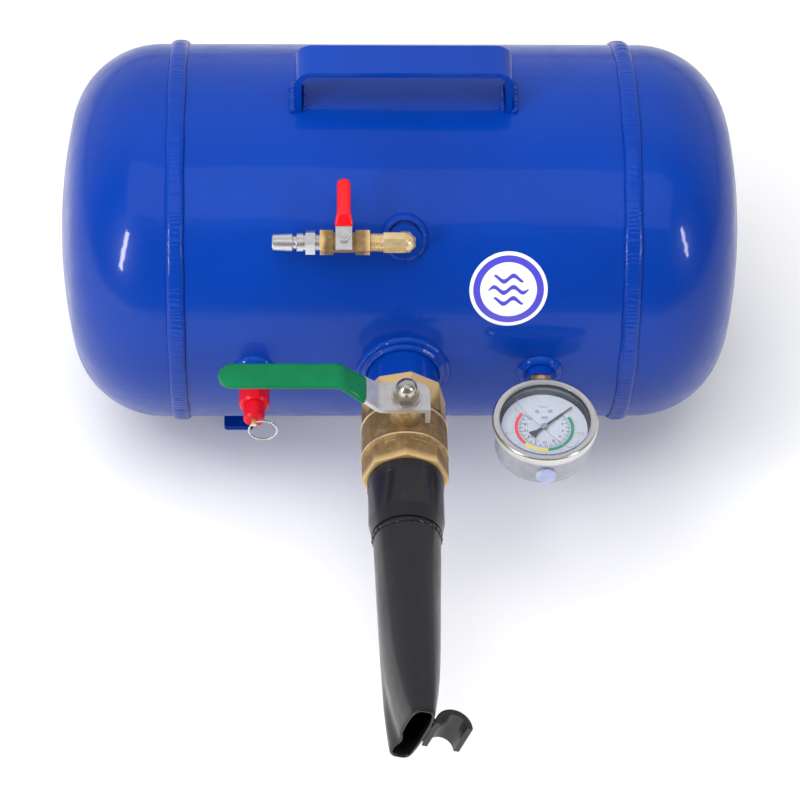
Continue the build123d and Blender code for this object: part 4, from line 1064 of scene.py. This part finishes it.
def smooth_line(route, name, radius):
    """A thin round line through points."""
    fine = []
    for i in range(len(route) - 1):
        before = route[max(i - 1, 0)]
        after = route[min(i + 2, len(route) - 1)]
        a, b = route[i], route[i + 1]
        for k in range(8):
            t = k / 8
            curve = 2 * a + (b - before) * t + (2 * before - 5 * a + 4 * b - after) * t**2
            curve += (3 * a - before - 3 * b + after) * t**3
            fine.append(curve / 2)
    fine.append(route[-1])
    bm = bmesh.new()
    rings = []
    for point, tangent in resampled(fine, 90)[0]:
        side = tangent.cross(Vector((0, 0, 1))).normalized()
        other = side.cross(tangent)
        ring = []
        sides = 8
        for k in range(sides):
            angle = 2 * math.pi * k / sides
            ring.append(point + (side * math.cos(angle) + other * math.sin(angle)) * radius)
        rings.append(ring)
    capped_faces(bm, rings)
    finish_mesh(bm, name, SMOKE, smooth=180)


# ---------------------------------------------------------------- label
LABEL_LOW, LABEL_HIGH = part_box("label")
LABEL_X = (LABEL_LOW[0] + LABEL_HIGH[0]) / 2
LABEL_TURN = math.radians(29.5)
LABEL_FACE = TANK_R + 0.4 * MM


def on_label(x, y, lift):
    """A point on the label from its own flat coordinates in millimetres."""
    angle = LABEL_TURN + y * MM / TANK_R
    radius = LABEL_FACE + lift
    return Vector(
        (LABEL_X + x * MM, AXIS_Y - radius * math.cos(angle), AXIS_Z + radius * math.sin(angle))
    )


def printed_strip(name, edges, material, closed=False):
    """A printed shape between two edges, each a list of label points."""
    bm = bmesh.new()
    rings = []
    for first, second in edges:
        rings.append([
            on_label(*first, 0.0), on_label(*second, 0.0),
            on_label(*second, 0.05 * MM), on_label(*first, 0.05 * MM),
        ])
    rows = grid_faces(bm, rings, close_path=closed)
    if not closed:
        bm.faces.new(rows[0])
        bm.faces.new(rows[-1])
    finish_mesh(bm, name, material, smooth=40)


def label_print():
    """A generic round label: a plain ring round three wavy lines for moving air."""
    ring_inner, ring_outer, steps = 18.2, 22.6, 96
    edges = []
    for i in range(steps):
        angle = 2 * math.pi * i / steps
        c, s = math.cos(angle), math.sin(angle)
        edges.append(((ring_inner * c, ring_inner * s), (ring_outer * c, ring_outer * s)))
    printed_strip("label_ring", edges, LABEL_VIOLET, closed=True)
    for row, half in ((7.5, 9.5), (0.0, 13.0), (-7.5, 9.5)):
        edges = []
        steps = 40
        for i in range(steps + 1):
            x = lerp(-half, half, i / steps)
            y = row + 1.9 * math.sin(2 * math.pi * x / 12.5)
            thick = 1.5 * math.sqrt(max(1 - (x / half) ** 4, 0.02))
            edges.append(((x, y - thick), (x, y + thick)))
        printed_strip(f"label_wave_{int(row + 10)}", edges, LABEL_VIOLET)


# ---------------------------------------------------------------- softened edges
BEVELS = {
    0.9 * MM: "valve_body valve_adapter",
    1.1 * MM: "handle foot_left foot_right",
    0.25 * MM: "lever_nut",
    0.5 * MM: "valve_lever gland_nut inlet_elbow inlet_valve_body safety_body rim_hook",
    0.35 * MM: "quick_plug inlet_lever inlet_lever_nut inlet_valve_insert",
    0.6 * MM: "safety_cap gauge_case outlet_nipple gauge_boss safety_boss inlet_boss gauge_socket",
}


def soften_edges():
    """Small rounds on the hard edges of the CAD parts that show."""
    for width, names in BEVELS.items():
        for name in names.split():
            piece = nodes[name]
            bevel = piece.modifiers.new("edge", "BEVEL")
            bevel.width = width
            bevel.segments = 3
            bevel.limit_method = "ANGLE"
            bevel.angle_limit = math.radians(28)
            bevel.harden_normals = False


# ---------------------------------------------------------------- stage
def lay_floor():
    """A plain pale floor."""
    bm = bmesh.new()
    size = 30.0
    signs = ((-1, -1), (1, -1), (1, 1), (-1, 1))
    corners = [bm.verts.new((x * size, y * size, 0)) for x, y in signs]
    bm.faces.new(corners)
    mesh = bpy.data.meshes.new("floor")
    bm.to_mesh(mesh)
    bm.free()
    floor = bpy.data.objects.new("floor", mesh)
    bpy.context.scene.collection.objects.link(floor)
    material = bpy.data.materials.new("floor_white")
    material.use_nodes = True
    shader = material.node_tree.nodes["Principled BSDF"]
    shader.inputs["Base Color"].default_value = (0.9, 0.9, 0.9, 1)
    shader.inputs["Roughness"].default_value = 0.9
    mesh.materials.append(material)


def light_studio():
    """Soft light from above, two slim lamps for highlights, and the room."""
    bpy.context.scene.view_settings.view_transform = "Standard"
    world = bpy.data.worlds.new("studio")
    bpy.context.scene.world = world
    world.use_nodes = True
    studio_walls(world.node_tree)

    area_light("softbox", (-0.1, -0.45, 1.6), (0, 0.1, 0.1), 2.2, 0.9, 5)
    area_light("key", (-1.5, -1.2, 1.05), (0, 0.1, 0.15), 0.17, 0.85, 22)
    area_light("rim", (1.7, -1.1, 1.15), (0, 0.1, 0.15), 0.14, 0.7, 11)
    fill = area_light("fill", (-0.5, -0.5, 2.6), (0, 0, 0.1), 2.4, 2.4, 62)
    fill.visible_glossy = False


def place_camera():
    """A long lens in front of the tank and above it."""
    camera_data = bpy.data.cameras.new("camera")
    camera = bpy.data.objects.new("camera", camera_data)
    bpy.context.scene.collection.objects.link(camera)
    camera_data.lens = 140
    camera_data.sensor_width = 36
    right = Vector((0.9996, -0.0193, 0.0221))
    up = Vector((0.0006, 0.7673, 0.6413))
    back = -Vector((0.0293, 0.6410, -0.7670))
    turn = Matrix((right, up, back)).transposed().to_4x4()
    place = (-0.061, AXIS_Y - 1.4345, AXIS_Z + 1.5381)
    camera.matrix_world = Matrix.Translation(place) @ turn
    camera_data.clip_end = 100
    bpy.context.scene.camera = camera


def studio_walls(tree):
    """A pale backdrop behind the object and a dark room in front of it."""
    background = tree.nodes["Background"]
    background.inputs["Strength"].default_value = 1.0
    coord = tree.nodes.new("ShaderNodeTexCoord")
    parts = tree.nodes.new("ShaderNodeSeparateXYZ")
    ramp = tree.nodes.new("ShaderNodeMapRange")
    ramp.interpolation_type = "SMOOTHSTEP"
    ramp.inputs["From Min"].default_value = -0.15
    ramp.inputs["From Max"].default_value = 0.55
    ramp.inputs["To Min"].default_value = 0.16
    ramp.inputs["To Max"].default_value = 0.85
    tree.links.new(coord.outputs["Generated"], parts.inputs["Vector"])
    tree.links.new(parts.outputs["Y"], ramp.inputs["Value"])
    tree.links.new(ramp.outputs["Result"], background.inputs["Color"])


def area_light(name, place, target, width, depth, power):
    """A soft rectangular lamp that looks at a point."""
    data = bpy.data.lights.new(name, "AREA")
    data.shape = "RECTANGLE"
    data.size = width
    data.size_y = depth
    data.energy = power
    lamp = bpy.data.objects.new(name, data)
    bpy.context.scene.collection.objects.link(lamp)
    direction = Vector(target) - Vector(place)
    lamp.rotation_euler = direction.to_track_quat("-Z", "Y").to_euler()
    lamp.location = place
    return lamp


paint_nodes()
tank_pieces()
seam_welds()
port_welds()
handle_beads()
foot_beads()
blast_tube()
collar_bead()
hook_beads()
pipe_thread()
barrel_edges()
main_grip()
inlet_grip()
inlet_threads()
pull_ring()
dial_print()
dial_screws()
rolled_bezel()
needle_hub()
bubble_line()
label_print()
soften_edges()
lay_floor()
light_studio()
place_camera()
